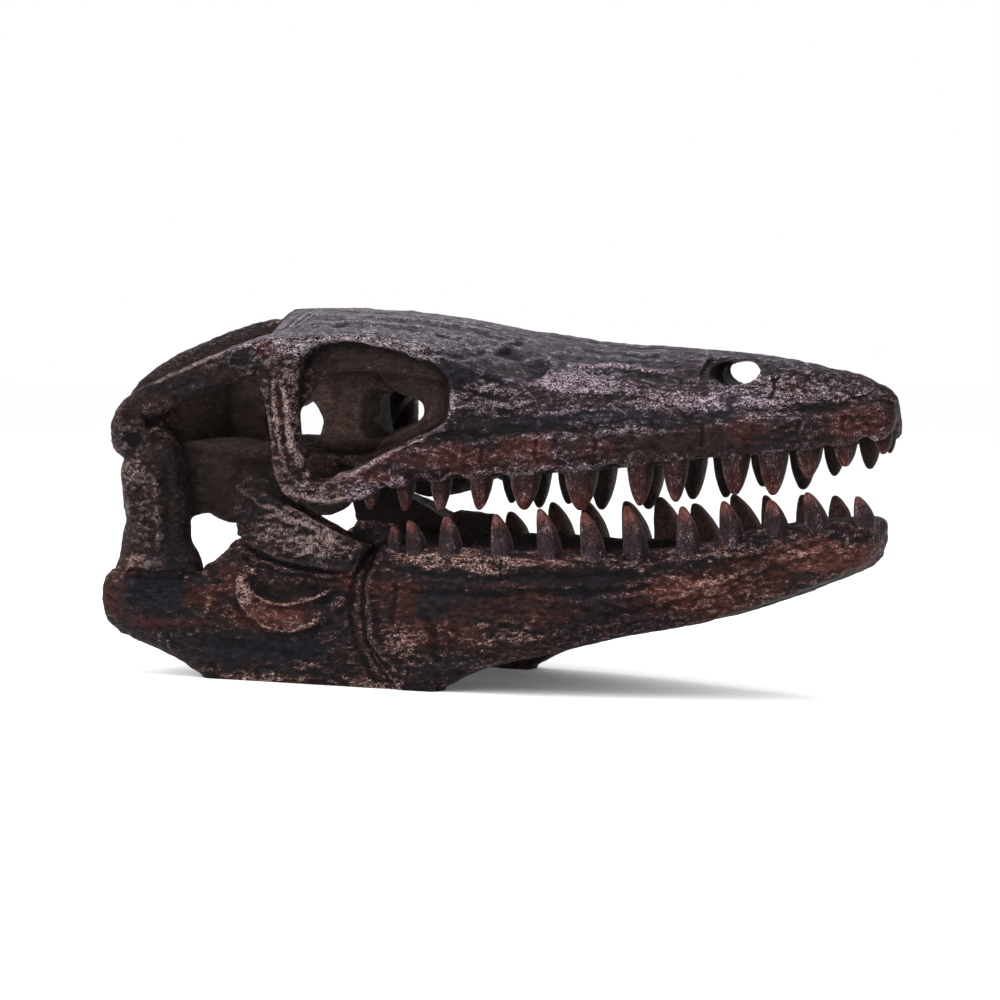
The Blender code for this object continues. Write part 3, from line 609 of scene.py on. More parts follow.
def drop(shape):
    mesh = shape.data
    bpy.data.objects.remove(shape)
    bpy.data.meshes.remove(mesh)


def cut(shape, *cutters, solver=SOLVER):
    for cutter in cutters:
        modify(shape, "BOOLEAN", object=cutter, operation="DIFFERENCE", solver=solver)
        drop(cutter)


def joined(name, shapes):
    body = bmesh.new()
    for shape in shapes:
        body.from_mesh(shape.data)
        drop(shape)
    mesh = bpy.data.meshes.new(name)
    body.to_mesh(mesh)
    body.free()
    return placed(name, mesh)


def fused(name, shapes):
    whole = joined(name, shapes)
    modify(whole, "REMESH", mode="VOXEL", voxel_size=VOXEL * MM)
    return whole


CUT_DEPTH = 60  # how far the block that cuts off an underside reaches down


def keep_above(shape, height):
    below = rectangle(REAR, height - CUT_DEPTH, FRONT, height)
    cut(shape, prism("below", below, -OUTSIDE, OUTSIDE))


def make_whole(shape):
    """The right half with its mirror image, sewn at the mid-plane."""
    with edited(shape.data) as body:
        everything = [*body.verts, *body.edges, *body.faces]
        opened = bmesh.ops.bisect_plane(
            body, geom=everything, plane_co=(0, 0, 0), plane_no=(0, 1, 0), clear_outer=True
        )
        for item in opened["geom_cut"]:
            if isinstance(item, bmesh.types.BMVert):
                item.co.y = 0.0
    modify(shape, "MIRROR", use_axis=(False, True, False), merge_threshold=SEAM)


def mirrored_copy(shape):
    twin = duplicate(shape)
    with edited(twin.data) as body:
        bmesh.ops.scale(body, vec=(1, -1, 1), verts=body.verts)
        bmesh.ops.reverse_faces(body, faces=body.faces)
    return twin


# ---------------------------------------------------------------- working on vertices


def w_for_y(rows):
    """Rows with the frame's Y made w, or w made Y: the two run against each other."""
    return rows * (1, -1, 1)


class Skin:
    """A mesh's vertices in skull coordinates, with what sculpting needs.

    p and n are the places and normals, a and b the two ends of each edge.
    """

    def __init__(self, shape):
        self.mesh = shape.data
        count = len(self.mesh.vertices)
        flat = np.empty(count * 3)
        self.mesh.vertices.foreach_get("co", flat)
        self.p = w_for_y(flat.reshape(-1, 3) / MM) + (MIDDLE, 0, 0)
        ends = np.empty(len(self.mesh.edges) * 2, np.int32)
        self.mesh.edges.foreach_get("vertices", ends)
        self.a, self.b = ends.reshape(-1, 2).T
        self.valence = np.maximum(1, np.bincount(np.concatenate([self.a, self.b]), minlength=count))
        self.find_normals()

    def find_normals(self):
        flat = np.empty(len(self.mesh.vertices) * 3)
        self.mesh.vertex_normals.foreach_get("vector", flat)
        self.n = w_for_y(flat.reshape(-1, 3))

    def write(self):
        flat = w_for_y(self.p - (MIDDLE, 0, 0)) * MM
        self.mesh.vertices.foreach_set("co", flat.reshape(-1))
        self.mesh.update()
        self.find_normals()

    def push(self, amount):
        """Moves each vertex out along its normal, in millimetres."""
        self.p += self.n * amount[:, None]
        self.write()

    def spread(self, values, times):
        """Values averaged with those of their neighbours, so many times over."""
        values = np.array(values, float)
        count = len(self.p)
        for _ in range(times):
            columns = values.reshape(count, -1)
            total = np.empty_like(columns)
            for k in range(columns.shape[1]):
                column = columns[:, k]
                total[:, k] = np.bincount(self.a, column[self.b], count)
                total[:, k] += np.bincount(self.b, column[self.a], count)
            values = (0.5 * columns + 0.5 * total / self.valence[:, None]).reshape(values.shape)
        return values

    def relief(self, times):
        """How far each vertex stands out of its smoothed surroundings, in millimetres."""
        return ((self.p - self.spread(self.p, times)) * self.n).sum(axis=1)


def smoothstep(low, high, value):
    t = np.clip((value - low) / (high - low), 0, 1)
    return t * t * (3 - 2 * t)


def blended(colour, other, share):
    """The colours taken a share of the way to the other ones."""
    return colour + (other - colour) * share[:, None]


def falloff(reach, sharpness=2):
    """1 in the middle, and near 0 from a reach of about 2."""
    return np.exp(-(reach**sharpness))


LATTICE_SIZE = 64
LATTICE = np.random.default_rng(7).random((LATTICE_SIZE, LATTICE_SIZE, LATTICE_SIZE)) * 2 - 1
SEED_SHIFT = 17.31  # cells of the lattice from one seed's noise to the next
OCTAVE_FADE = 1.7  # how much weaker each finer octave is


def noise(p, size, seed):
    """Smooth noise from -1 to 1 whose lumps have the given size along x, w and z."""
    q = p / np.broadcast_to(size, 3) + SEED_SHIFT * (seed + 1)
    i = np.floor(q).astype(np.int64)
    f = q - i
    f = f * f * (3 - 2 * f)
    total = 0
    for corner in range(8):
        step = np.array([corner & 1, corner >> 1 & 1, corner >> 2 & 1])
        weight = np.prod(np.where(step, f, 1 - f), axis=1)
        j = (i + step) % LATTICE_SIZE
        total = total + weight * LATTICE[j[:, 0], j[:, 1], j[:, 2]]
    return total


def fractal(p, size, octaves, seed):
    """Noise with finer noise on it, each octave of half the size."""
    total, strength = 0, 0
    for k in range(octaves):
        total = total + noise(p, np.broadcast_to(size, 3) / 2**k, seed + k) / OCTAVE_FADE**k
        strength += 1 / OCTAVE_FADE**k
    return total / strength


def along(path, u, v):
    """Distance to an open line, the side it lies on, and the share of the way along."""
    path = np.array(path, float)
    lengths = np.hypot(*(path[1:] - path[:-1]).T)
    before = np.concatenate([[0], np.cumsum(lengths)])
    best = np.full(len(u), np.inf)
    side, share = np.zeros(len(u)), np.zeros(len(u))
    for k in range(len(path) - 1):
        du, dv = (path[k + 1] - path[k]) / lengths[k]
        ru, rv = u - path[k, 0], v - path[k, 1]
        t = np.clip(ru * du + rv * dv, 0, lengths[k])
        distance = np.hypot(ru - t * du, rv - t * dv)
        near = distance < best
        best = np.where(near, distance, best)
        side = np.where(near, np.sign(du * rv - dv * ru), side)
        share = np.where(near, (before[k] + t) / before[-1], share)
    return best, side, share


def curve(points):
    return [tuple(p[:2]) for p in between([(x, y, 0) for x, y in points], steps=4)]


# ---------------------------------------------------------------- the bones


CRANIUM_BARS = {
    "jugal_bar": JUGAL,
    "postorbital_bar": POSTORBITAL,
    "temporal_arch": TEMPORAL_ARCH,
    "parietal_ramus": PARIETAL_RAMUS,
    "occiput": OCCIPUT,
    "quadrate_column": QUADRATE,
    "pterygoid_wing": PTERYGOID,
    "orbit_corner": ORBIT_CORNER,
    "pterygoid_shelf": PTERYGOID_SHELF,
}


def cranium_half():
    """The right half of the cranium, some way past the mid-plane."""
    core = [
        skin_over("snout", [snout_ring(*row) for row in between(SNOUT, steps=5)]),
        skin_over("roof", [plate_ring(*row) for row in between(ROOF, steps=5)]),
        skin_over("case", [slab_ring(x, 0, *row, CREST_SHARE) for x, *row in between(BRAINCASE, steps=5)]),
        skin_over("floor", [slab_ring(x, 0, *row) for x, *row in between(SKULL_FLOOR, steps=4)]),
        bar("pillar", PILLAR),
    ]
    half = fused("cranium", core)
    cut(
        half,
        orbit_bowl(),
        ellipsoid("temporal_hollow", *TEMPORAL_HOLLOW, steps=24),
        ellipsoid("braincase_window", *BRAINCASE_WINDOW, steps=20),
        ellipsoid("naris", *NARIS, steps=20),
        prism("left_side", rectangle(REAR, UNDER, FRONT, OVER), -OUTSIDE, -PAST_MIDLINE),
    )
    half = fused("cranium", [half, *(bar(name, rows) for name, rows in CRANIUM_BARS.items())])
    modify(half, "SMOOTH", factor=0.5, iterations=7)
    return half


def mandible_half():
    """The right half of the lower jaw, a little too high at its joint and too low at its feet."""
    rear = skin_over("postdentary", [slab_ring(*row) for row in between(POSTDENTARY, steps=5)])
    rings = [slab_ring(*row, inner_rise=DENTARY_INNER_RISE) for row in between(DENTARY, steps=5)]
    front = skin_over("dentary_body", rings)
    behind = DENTARY_SUTURE + [(90, -5), (90, 60)]
    cut(front, prism("behind_suture", behind, JAW_INSIDE, JAW_OUTSIDE), solver="EXACT")
    forms = [rear, front, plate("coronoid_plate", CORONOID), plate("inner_plate", INNER_PLATE)]
    half = fused("mandible", [*forms, bar("fossa_lip", FOSSA_LIP, roundness=2.0)])
    modify(half, "SMOOTH", factor=0.5, iterations=5)
    return half


def taken_out(whole, name, outline, inner, outer):
    bone = duplicate(whole)
    bone.name = name
    block = prism("block", outline, inner, outer)
    modify(bone, "BOOLEAN", object=block, operation="INTERSECT", solver=SOLVER)
    drop(block)
    return bone


def blocks(bones, sides):
    """The blocks that hold the bones of the given sides: name, least and greatest w, outline."""
    for name, inner, outer, outline in bones:
        if inner is None:
            yield name, -outer, outer, outline
        else:
            for side in sides:
                yield name + SIDE_WORDS[side], *sorted((side * inner, side * outer)), outline


def parted(whole, bones, sides, last_name):
    """The whole cut into bones that touch: name and piece of each, and last what is left over."""
    pieces = []
    for name, low, high, outline in blocks(bones, sides):
        pieces.append((name, taken_out(whole, name, outline, low, high)))
        cut(whole, prism("block", outline, low, high))
    return [*pieces, (last_name, whole)]


# ---------------------------------------------------------------- carving
# Lines and spots are given in the side view as x, z; those of the roof as x, w.

ALVEOLAR_RIDGE = [
    (130, 92), (142, 93.5), (150, 95), (169, 97.6), (185, 99), (201, 98.4), (215, 100), (233, 101),
    (251, 102.4), (269, 105.6), (288, 108), (305, 109.6), (317, 111.5),
]
# Side view: kind, line, width, height (negative cuts in), least w. A rim is a ridge with paler paint on it.
CRANIUM_LINES = [
    ("rim", [(88, 131), (92, 134.5), (103, 136.2), (115, 136.4), (124, 135), (133, 132.5), (146, 129),
        (158, 125.5)], 1.3, 1.0, 25),
    ("rim", [(88, 104), (90, 93), (95, 86.5), (103, 83), (113, 83.6), (123, 87), (132, 91.4), (141, 96),
        (150, 99)], 1.1, 0.9, 38),
    ("groove", [(94, 84), (100, 80.6), (110, 79.8), (120, 82.2), (130, 86), (139, 89.5)], 2.2, -0.9, 44),
    ("rim", [(92, 76), (98, 73.6), (108, 73.0), (119, 75.4), (131, 79.5), (142, 83.4)], 1.3, 0.7, 42),
    ("rim", [(85, 120), (87.5, 108), (88, 97), (91.5, 88), (97, 81)], 1.2, 0.6, 44),
    ("ridge", [(80.5, 116), (82.6, 104), (84, 94), (88, 84), (94, 78)], 1.2, 0.6, 44),
    ("groove", [(83, 122), (85, 108), (86, 96), (89.5, 87)], 1.5, -0.7, 44),
    ("groove", [(78.6, 125), (79.5, 112), (80.5, 100), (82.5, 88)], 1.1, -0.5, 44),
    ("groove", [(169, 134.4), (175, 132), (181, 128.8), (187, 124.6), (190, 122)], 3.0, -3.4, 10),
    ("groove", [(160, 124.5), (172, 120), (186, 116.8), (203, 115), (222, 113.6)], 1.8, -0.6, 16),
    ("groove", [(166, 131), (158, 129.4), (149, 131)], 1.6, -0.9, 30),
    ("groove", [(150, 103), (166, 105.4), (184, 106.6), (200, 106.2), (212, 107.6)], 3.2, -0.6, 16),
    ("ridge", [(160, 110), (172, 110.6), (184, 109.6)], 1.4, 0.5, 16),
    ("groove", [(218, 106.8), (234, 107.8), (250, 109.2), (266, 112)], 2.6, -0.7, 10),
    ("groove", [(206, 123), (222, 121.6), (240, 120.2), (249, 119.4)], 1.3, -0.6, 8),
    ("rim", [(194, 126.4), (203, 125), (212, 126), (224, 124.4), (240, 123.2)], 1.2, 0.7, 8),
    ("groove", [(188, 129), (204, 128.6), (220, 127.6), (236, 127)], 1.2, -0.5, 8),
    ("notch", [(247, 124.4), (252, 124), (257, 123.2)], 3.6, -1.6, 2),
    ("groove", [(275.5, 121.5), (276.5, 117), (275, 112.5)], 1.2, -1.1, 4),
    ("groove", [(279, 124), (290, 121), (301, 117.5), (311, 113)], 1.2, -0.4, 2),
    ("groove", [(268, 118), (285, 116.6), (300, 114.6)], 1.3, -0.5, 2),
    ("groove", [(252, 104.6), (252.6, 99), (252, 94)], 0.9, -0.7, 8),
    ("groove", [(192, 97.6), (191, 92), (192.6, 87)], 0.9, -0.6, 20),
    ("groove", [(214, 98.6), (213.4, 93), (214.4, 90)], 0.9, -0.6, 20),
    ("groove", [(171, 96.6), (170, 90), (171, 86)], 0.9, -0.5, 20),
    ("groove", [(288, 106.4), (287, 101), (288, 98)], 0.9, -0.6, 6),
    ("groove", [(304, 108.4), (303.4, 104), (304, 100.6)], 0.9, -0.6, 4),
    ("groove", [(152, 118), (160, 117), (171, 114.6), (181, 113.6)], 1.1, -0.6, 20),
    ("ridge", [(148, 113.6), (158, 113), (167, 116.4), (176, 119)], 1.3, 0.5, 20),
    ("rim", [(22, 117.6), (34, 122.6), (47, 127.6), (60, 131.8), (74, 135.2)], 1.1, 0.7, 46),
    ("groove", [(20, 113.6), (30, 117), (43, 120.6), (55, 125.6)], 2.2, -0.8, 46),
    ("groove", [(30, 88), (31.6, 76), (31, 64), (33, 54)], 2.2, -1.2, 48),
    ("ridge", [(26, 84), (27.2, 72), (27, 60), (28.4, 50)], 1.8, 0.8, 48),
    ("groove", [(8, 43.6), (22, 43.4), (38, 43.8)], 0.9, -0.8, 44),
    ("ridge", [(12, 46.6), (21, 46.8), (30, 45.8)], 1.6, 0.7, 44),
]
# Side view: middle x, z, radii along x and z, height (negative is a pit), least w
CRANIUM_SPOTS = [
    (14, 106, 4.2, 4.4, -1.5, 48), (22, 105, 3.4, 2.6, -1.4, 48), (13.5, 96, 3.4, 3.4, -1.4, 48),
    (18.5, 100.6, 2.2, 5.2, 0.9, 48), (25, 97.5, 2.6, 3.2, -1.3, 48), (11, 84.6, 4.4, 3.6, 1.0, 47),
    (17, 75, 5.2, 4.0, -0.9, 47), (12, 68, 4.0, 4.6, 0.9, 47), (40, 80, 5, 6, -1.2, 44),
    (38, 92, 4, 3.4, -1.0, 42), (79, 128, 5.5, 4.6, 0.7, 40), (142, 134, 3.6, 4.6, 0.9, 30),
    (148.6, 131, 3.0, 2.6, -1.0, 28), (132, 94.6, 2.6, 1.8, 0.9, 40), (146, 100.6, 4.4, 3.2, 0.8, 40),
    (156, 99, 4.0, 2.6, -0.5, 38), (171, 104, 5.5, 3.4, 0.5, 30), (236, 117, 9, 5, 0.5, 10),
    (219, 118, 8, 3.2, 0.5, 10), (271, 115, 7, 3.6, 0.4, 6), (202, 94, 9, 3.4, 0.5, 20),
    (180, 92, 8, 3.4, 0.4, 20), (262, 98.6, 7, 3.6, 0.4, 6), (296, 104, 5, 3.2, 0.4, 4),
]
# Roof: kind, line in x and w, width, height
ROOF_LINES = [
    ("groove", [(66, 12), (84, 15), (104, 17), (128, 16), (150, 13), (170, 9)], 2.0, -0.7),
    ("groove", [(84, 30), (102, 31), (120, 28), (138, 25), (160, 20), (185, 14)], 2.2, -0.9),
    ("ridge", [(76, 24), (96, 25), (118, 23.6), (140, 20), (165, 15)], 1.5, 0.6),
    ("groove", [(96, 38), (112, 38.4), (128, 36), (142, 32)], 1.8, -0.6),
    ("ridge", [(84, 36), (104, 35), (124, 33), (140, 29)], 1.2, 0.6),
    ("groove", [(144, 33.4), (149, 32), (155, 30.4)], 1.3, -1.1),
    ("groove", [(80, 20), (81, 28), (80, 36)], 1.0, -0.9),
    ("groove", [(168, 6), (190, 4.6), (215, 4.2), (240, 3.4)], 1.4, -0.6),
    ("ridge", [(60, 0), (90, 0), (130, 0), (180, 0), (240, 0)], 2.0, 0.5),
    ("groove", [(196, 14), (214, 11), (232, 9)], 1.2, -0.5),
    ("groove", [(20, 34), (34, 22), (48, 11)], 2.0, -0.9),
    ("ridge", [(22, 39), (36, 27), (50, 15)], 1.5, 0.7),
    ("groove", [(72, 8), (76, 26), (78, 42)], 1.0, -0.5),
]
MANDIBLE_LINES = [
    ("groove", [(62, 57), (66, 54), (74, 50.4), (82, 48), (92, 46.4), (105, 45.6),
        (114, 47)], 1.0, -1.1, 42),
    ("ridge", [(61, 54.6), (66, 51.8), (74, 48.6), (83, 46), (93, 44.4), (105, 43.8),
        (114, 44.6)], 1.1, 0.7, 42),
    ("groove", [(62, 51.4), (68, 48.6), (76, 45.8), (86, 43.6), (98, 42.4), (110, 42)], 0.9, -0.7, 42),
    ("ridge", [(63, 42), (65, 35), (71, 29.6), (80, 26.7), (88, 26.6), (97.5, 29.5),
        (104, 33)], 3.8, 1.0, 42),
    ("rim", [(65, 45), (66.5, 39), (72, 34.6), (80, 31.8), (88, 31.8), (98, 34.6),
        (107, 39)], 0.9, 1.3, 42),
    ("groove", [(69, 45), (72, 40), (80, 37), (90, 37), (101, 41)], 2.8, -1.5, 42),
    ("rim", [(63.5, 37), (66, 30), (72, 25), (80, 21.6), (88, 21.4), (97, 24.4), (103, 29)], 1.1, 0.8, 42),
    ("groove", [(61, 36), (63.5, 28), (70, 22.4), (79, 18.6), (89, 18.4)], 2.0, -0.7, 42),
    ("groove", [(124, 57), (118.4, 50), (115.6, 43), (114.4, 31), (116, 18), (120.4, 9.4),
        (126.6, 1)], 1.3, -1.0, 36),
    ("ridge", [(126, 56), (120.6, 50), (118.4, 43), (117.6, 31), (119, 18.6), (123.6, 10.6),
        (130, 3)], 1.4, 0.6, 36),
    ("groove", [(129, 56.6), (123.4, 50), (120.6, 43), (119.9, 31), (121.6, 19.4), (127, 11.6),
        (134, 4.6)], 1.1, -1.1, 36),
    ("ridge", [(132, 56), (126, 50), (123.4, 43), (122.8, 31), (124.6, 20), (130, 12),
        (137, 5)], 1.6, 0.7, 36),
    ("groove", [(146.6, 34), (148.8, 25), (151, 17), (153, 11)], 2.2, -1.0, 34),
    ("groove", [(128, 47), (150, 46), (176, 45.6), (204, 46.6), (232, 48)], 1.8, -0.8, 20),
    ("ridge", [(130, 52), (150, 52.4), (176, 51.6), (206, 51), (240, 52.6), (268, 57.6)], 1.5, 0.6, 14),
    ("groove", [(134, 39), (160, 38.6), (186, 40), (214, 41), (240, 43.6)], 1.6, -0.6, 18),
    ("ridge", [(190, 36.6), (214, 38), (236, 41), (258, 45.6), (280, 51.6)], 1.6, 0.6, 14),
    ("groove", [(214, 32), (236, 35.4), (256, 40), (276, 45.6)], 1.6, -0.6, 12),
    ("ridge", [(160, 18.6), (184, 21.6), (208, 25.8), (232, 31.4)], 1.5, 0.5, 20),
    ("groove", [(256, 51), (274, 55.6), (292, 60), (306, 64)], 1.3, -0.6, 5),
    ("groove", [(262, 46), (282, 51.6), (300, 57)], 1.2, -0.5, 5),
    ("groove", [(133, 43), (134, 36), (133, 27)], 1.4, -0.5, 38),
    ("groove", [(178, 44), (177.4, 50), (178.6, 55)], 1.0, -0.6, 24),
    ("ridge", [(56, 12), (76, 8.6), (98, 7.4), (116, 8)], 2.2, 0.5, 40),
    ("groove", [(40, 18), (60, 15.6), (84, 13.4), (108, 13.4)], 2.4, -0.6, 40),
    ("groove", [(8, 40.6), (24, 40.4), (40, 41.4)], 1.0, -0.8, 44),
    ("ridge", [(46, 44), (50, 38), (50, 30), (46, 24)], 2.6, 0.8, 42),
]
MANDIBLE_SPOTS = [
    (25, 36, 10, 5, -1.1, 44), (18, 24, 9, 5, 0.6, 44), (10, 38, 6, 4, 0.7, 46),
    (38, 29, 8, 4.6, 0.6, 44), (140, 22, 7, 6, 0.6, 36), (166, 30, 10, 4.6, -0.6, 30),
    (146, 50, 8, 3, 0.5, 34), (256, 44, 7, 4, 0.5, 12), (226, 50, 7, 3, 0.5, 16), (304, 60, 6, 4, 0.5, 5),
    (200, 32, 9, 4, 0.5, 20),
]
CORONOID_RIM = [
    (62.5, 79), (67, 75.6), (72, 73.4), (76, 70.4), (82, 69.4), (88, 65.8), (96, 64.2), (106, 60.4),
]


LINE_REACH = 4  # a line is worked out as far as this many of its widths


def beyond(least, w):
    """0 below the least w of an entry, 1 from just above it."""
    return smoothstep(least - 2, least + 1, w)


def worked(skin, u, v, lines, spots, facing):
    """The height that lines and spots add at each vertex."""
    rise = np.zeros(len(skin.p))
    u, v = (axis + 0.9 * noise(skin.p, 5.0, seed) for axis, seed in ((u, 3), (v, 4)))
    for kind, path, width, height, *least in lines:
        path = curve(path)
        us, vs = zip(*path)
        near = (u > min(us) - LINE_REACH * width) & (u < max(us) + LINE_REACH * width) & facing
        near &= (v > min(vs) - LINE_REACH * width) & (v < max(vs) + LINE_REACH * width)
        if least:
            near &= skin.p[:, 1] > least[0] - 2
        index = np.flatnonzero(near)
        if not len(index):
            continue
        distance, _, share = along(path, u[index], v[index])
        ends = smoothstep(0, 0.12, share) * smoothstep(0, 0.12, 1 - share)
        uneven = 0.8 + 0.45 * noise(skin.p[index], 7.0, 9)
        edge = beyond(least[0], skin.p[index, 1]) if least else 1
        section = falloff(distance / width, 4 if kind == "notch" else 2)
        rise[index] += height * section * ends * uneven * edge
    for x, z, rx, rz, height, least in spots:
        reach = np.hypot((u - x) / rx, (v - z) / rz)
        rise += height * falloff(reach, 2.4) * beyond(least, skin.p[:, 1]) * facing
    return rise


# The skull's outer wall from above: x, and the w from which a vertex counts as outside
WALL = np.array(
    [(-5, 43), (60, 43), (120, 41), (150, 38), (184, 33), (213, 26), (238, 17), (270, 9), (306, 3), (322, 0)]
)


def exposed(skin):
    """1 on the outside of the cranium, 0 deep in its hollows and on inner faces."""
    x, w, z = skin.p.T
    up = skin.n[:, 2]
    outward = np.where(w < 0, -skin.n[:, 1], skin.n[:, 1])
    w = np.abs(w)
    side = smoothstep(-4, 3, w - np.interp(x, *WALL.T)) * smoothstep(-0.35, 0.25, outward)
    snout = 1 - np.interp(x, [150, 200], [1, 0.0])
    side = np.maximum(side, snout * smoothstep(-0.2, 0.2, outward + 0.6 * up) * smoothstep(0, 6, z - 88))
    top = smoothstep(0.1, 0.6, up) * smoothstep(118, 132, z) * smoothstep(8, 60, x + 2 * w)
    return np.clip(np.maximum(side, top), 0, 1)


def carve_cranium(skin):
    x, w, z = skin.p.T
    rise = worked(skin, x, z, CRANIUM_LINES, CRANIUM_SPOTS, skin.n[:, 1] > -0.25)
    up = skin.n[:, 2]
    rise += worked(skin, x, w, ROOF_LINES, [], up > 0.35) * smoothstep(0.35, 0.7, up)
    waving = z + 1.5 * noise(skin.p, (15, 9, 9), 5) + 0.6 * noise(skin.p, 5.0, 6)
    band, side, _ = along(curve(ALVEOLAR_RIDGE), x, waving)
    outer = smoothstep(0.1, 0.5, skin.n[:, 1]) * smoothstep(126, 140, x) * smoothstep(0, 6, w - 2)
    below = np.where(side < 0, 1.0, 0.0) * smoothstep(0, 1.2, band)
    rise += outer * below * 0.65 * (z > 78)
    rise += outer * 0.4 * falloff(band)
    rise -= outer * 0.7 * falloff((band - 2.8) / 2.0) * (side > 0)
    for tooth_x, width, *_ in UPPER_RIGHT_TEETH:
        margin = read_off(SNOUT, tooth_x, 2)
        reach = np.hypot((x - tooth_x) / (0.42 * width), (z - margin - 3) / 7.0)
        rise += outer * 0.9 * falloff(reach, 2.6)
    skin.push(rise)
    scallop_gums(skin)


GUM_LIFT = 1.7


def scallop_gums(skin):
    """Lifts the upper jaw's margin a little between one tooth and the next."""
    x, w, z = skin.p.T
    stations, widths, margins = (np.array([row[k] for row in SNOUT], float) for k in (0, 1, 2))
    gap = np.min([np.abs(x - tooth[0]) / (0.5 * tooth[1]) for tooth in UPPER_RIGHT_TEETH], axis=0)
    low = smoothstep(6, 0, z - np.interp(x, stations, margins))
    outer = smoothstep(10, 5, np.interp(x, stations, widths) - w) * smoothstep(114, 124, x)
    skin.p[:, 2] += GUM_LIFT * smoothstep(0.6, 1.5, gap) * low * outer
    skin.write()


def carve_mandible(skin):
    x, w, z = skin.p.T
    rise = worked(skin, x, z, MANDIBLE_LINES, MANDIBLE_SPOTS, skin.n[:, 1] > 0.05)
    rim, _, share = along(curve(CORONOID_RIM), x, z)
    rise += 0.9 * falloff(rim / 1.2) * smoothstep(46, 50, w) * smoothstep(0, 0.1, 1 - share)
    for tooth_x, width, *_ in LOWER_RIGHT_TEETH:
        top = read_off(DENTARY, tooth_x, 4)
        reach = np.hypot((x - tooth_x) / (0.5 * width), (z - top) / 4.0)
        rise += 0.7 * falloff(reach, 2.4) * smoothstep(0.1, 0.5, skin.n[:, 1])
    skin.push(rise * smoothstep(0.2, 1.6, z))


def soften(skin, mask, times):
    """Rounds off what the mask covers."""
    skin.p += (skin.spread(skin.p, times) - skin.p) * mask[:, None]
    skin.write()


def roughen(skin, amount):
    """Grain along the bone, lumps and fine pitting; a small amount leaves little but the lumps."""
    p = skin.p
    grain = fractal(p, (7, 2.8, 2.4), 3, 11)
    gouges = 1 - np.abs(fractal(p, (12, 4.5, 4.0), 2, 15)) / 0.14
    lumps = fractal(p, 8.0, 2, 21)
    fine = fractal(p, (3.0, 1.9, 1.9), 2, 31)
    detail = 0.36 * grain - 0.22 * np.clip(gouges, 0, 1) + 0.32 * lumps + 0.40 * fine
    skin.push((0.25 * lumps + amount * detail) * smoothstep(0.05, 1.2, p[:, 2]))
    keep_in_box(skin)


PRESSED = 0.6  # depth of the layer under the box's faces that is pressed together


def keep_in_box(skin):
    """Presses what the carving raised past the plain object's box back inside it."""
    low, high = (np.array(corner) / MM for corner in CAD_BOX)
    lengthwise = ((0, 1, high[0] + MIDDLE), (0, -1, -low[0] - MIDDLE))
    for axis, sign, limit in (*lengthwise, (1, 1, high[1]), (1, -1, high[1]), (2, 1, high[2])):
        over = (sign * skin.p[:, axis] - limit) / PRESSED + 1
        pressed = sign * (limit - PRESSED * np.exp(-np.maximum(over, 0)))
        skin.p[:, axis] = np.where(over > 0, pressed, skin.p[:, axis])
    skin.write()


# ---------------------------------------------------------------- paint


def rgb(red, green, blue):
    """A colour as a screen shows it, from 0 to 255, made linear."""
    values = np.array([red, green, blue]) / 255
    return np.where(values <= 0.04045, values / 12.92, ((values + 0.055) / 1.055) ** 2.4)


def opaque(red, green, blue):
    return (*rgb(red, green, blue), 1.0)


INK = rgb(18, 14, 18)
SLATE = rgb(58, 55, 66)
HOLLOW = rgb(44, 33, 30)
# the hollows' brown painted lighter for the orbit, standing in for the light that reaches into it: painted
# light
ORBIT_PAINTED_LIGHTER = rgb(54, 42, 39)
UMBER = rgb(34, 22, 19)
RUST = rgb(56, 27, 22)
ROSE = rgb(70, 36, 32)
COPPER = rgb(88, 48, 40)
NAVY = rgb(19, 19, 27)
ROOF_COLOUR = rgb(68, 66, 75)

# Side view: colour, middle x, z, radii along x and z, strength
CRANIUM_WASHES = [
    (INK, 38, 70, 8, 28, 0.9), (SLATE, 225, 113, 62, 11, 0.4), (INK, 40, 120, 30, 5, 0.5),
    (SLATE, 190, 128, 40, 9, 0.7), (NAVY, 158, 124, 10, 8, 0.8), (NAVY, 180, 103.5, 26, 3.6, 0.7),
    # the navy patch at x 187, z 127 darkens the deep notch on the snout's top: painted shade
    (NAVY, 222, 106, 26, 3.0, 0.6), (NAVY, 187, 127, 6, 5, 0.8), (INK, 205, 113, 40, 3.4, 0.6),
    (RUST, 160, 90, 26, 6, 0.75), (RUST, 188, 93, 12, 6, 0.9), (ROSE, 194, 95, 7, 3, 0.7),
    (UMBER, 225, 95, 18, 6, 0.9), (RUST, 214, 95, 8, 5, 0.4), (UMBER, 252, 98, 16, 6, 0.8),
    (RUST, 240, 114, 16, 5, 0.35), (RUST, 268, 103, 8, 6, 0.6), (RUST, 308, 106, 12, 7, 0.75),
    (ROSE, 306, 103, 8, 3, 0.5), (UMBER, 285, 114, 22, 8, 0.6), (SLATE, 262, 112, 14, 6, 0.5),
    (RUST, 116, 83, 22, 3.4, 0.9), (UMBER, 100, 78, 18, 6, 0.7), (ROSE, 132, 90, 8, 3, 0.5),
    (UMBER, 84, 112, 8, 26, 0.8), (RUST, 78, 133, 7, 4, 0.6), (RUST, 83, 100, 3, 14, 0.4),
    (UMBER, 18, 106, 12, 10, 0.8), (RUST, 12, 80, 7, 7, 0.5), (UMBER, 24, 74, 16, 22, 0.7),
    (RUST, 12, 46, 9, 4, 0.7), (INK, 40, 84, 14, 12, 0.6), (UMBER, 44, 123, 30, 5, 0.5),
]
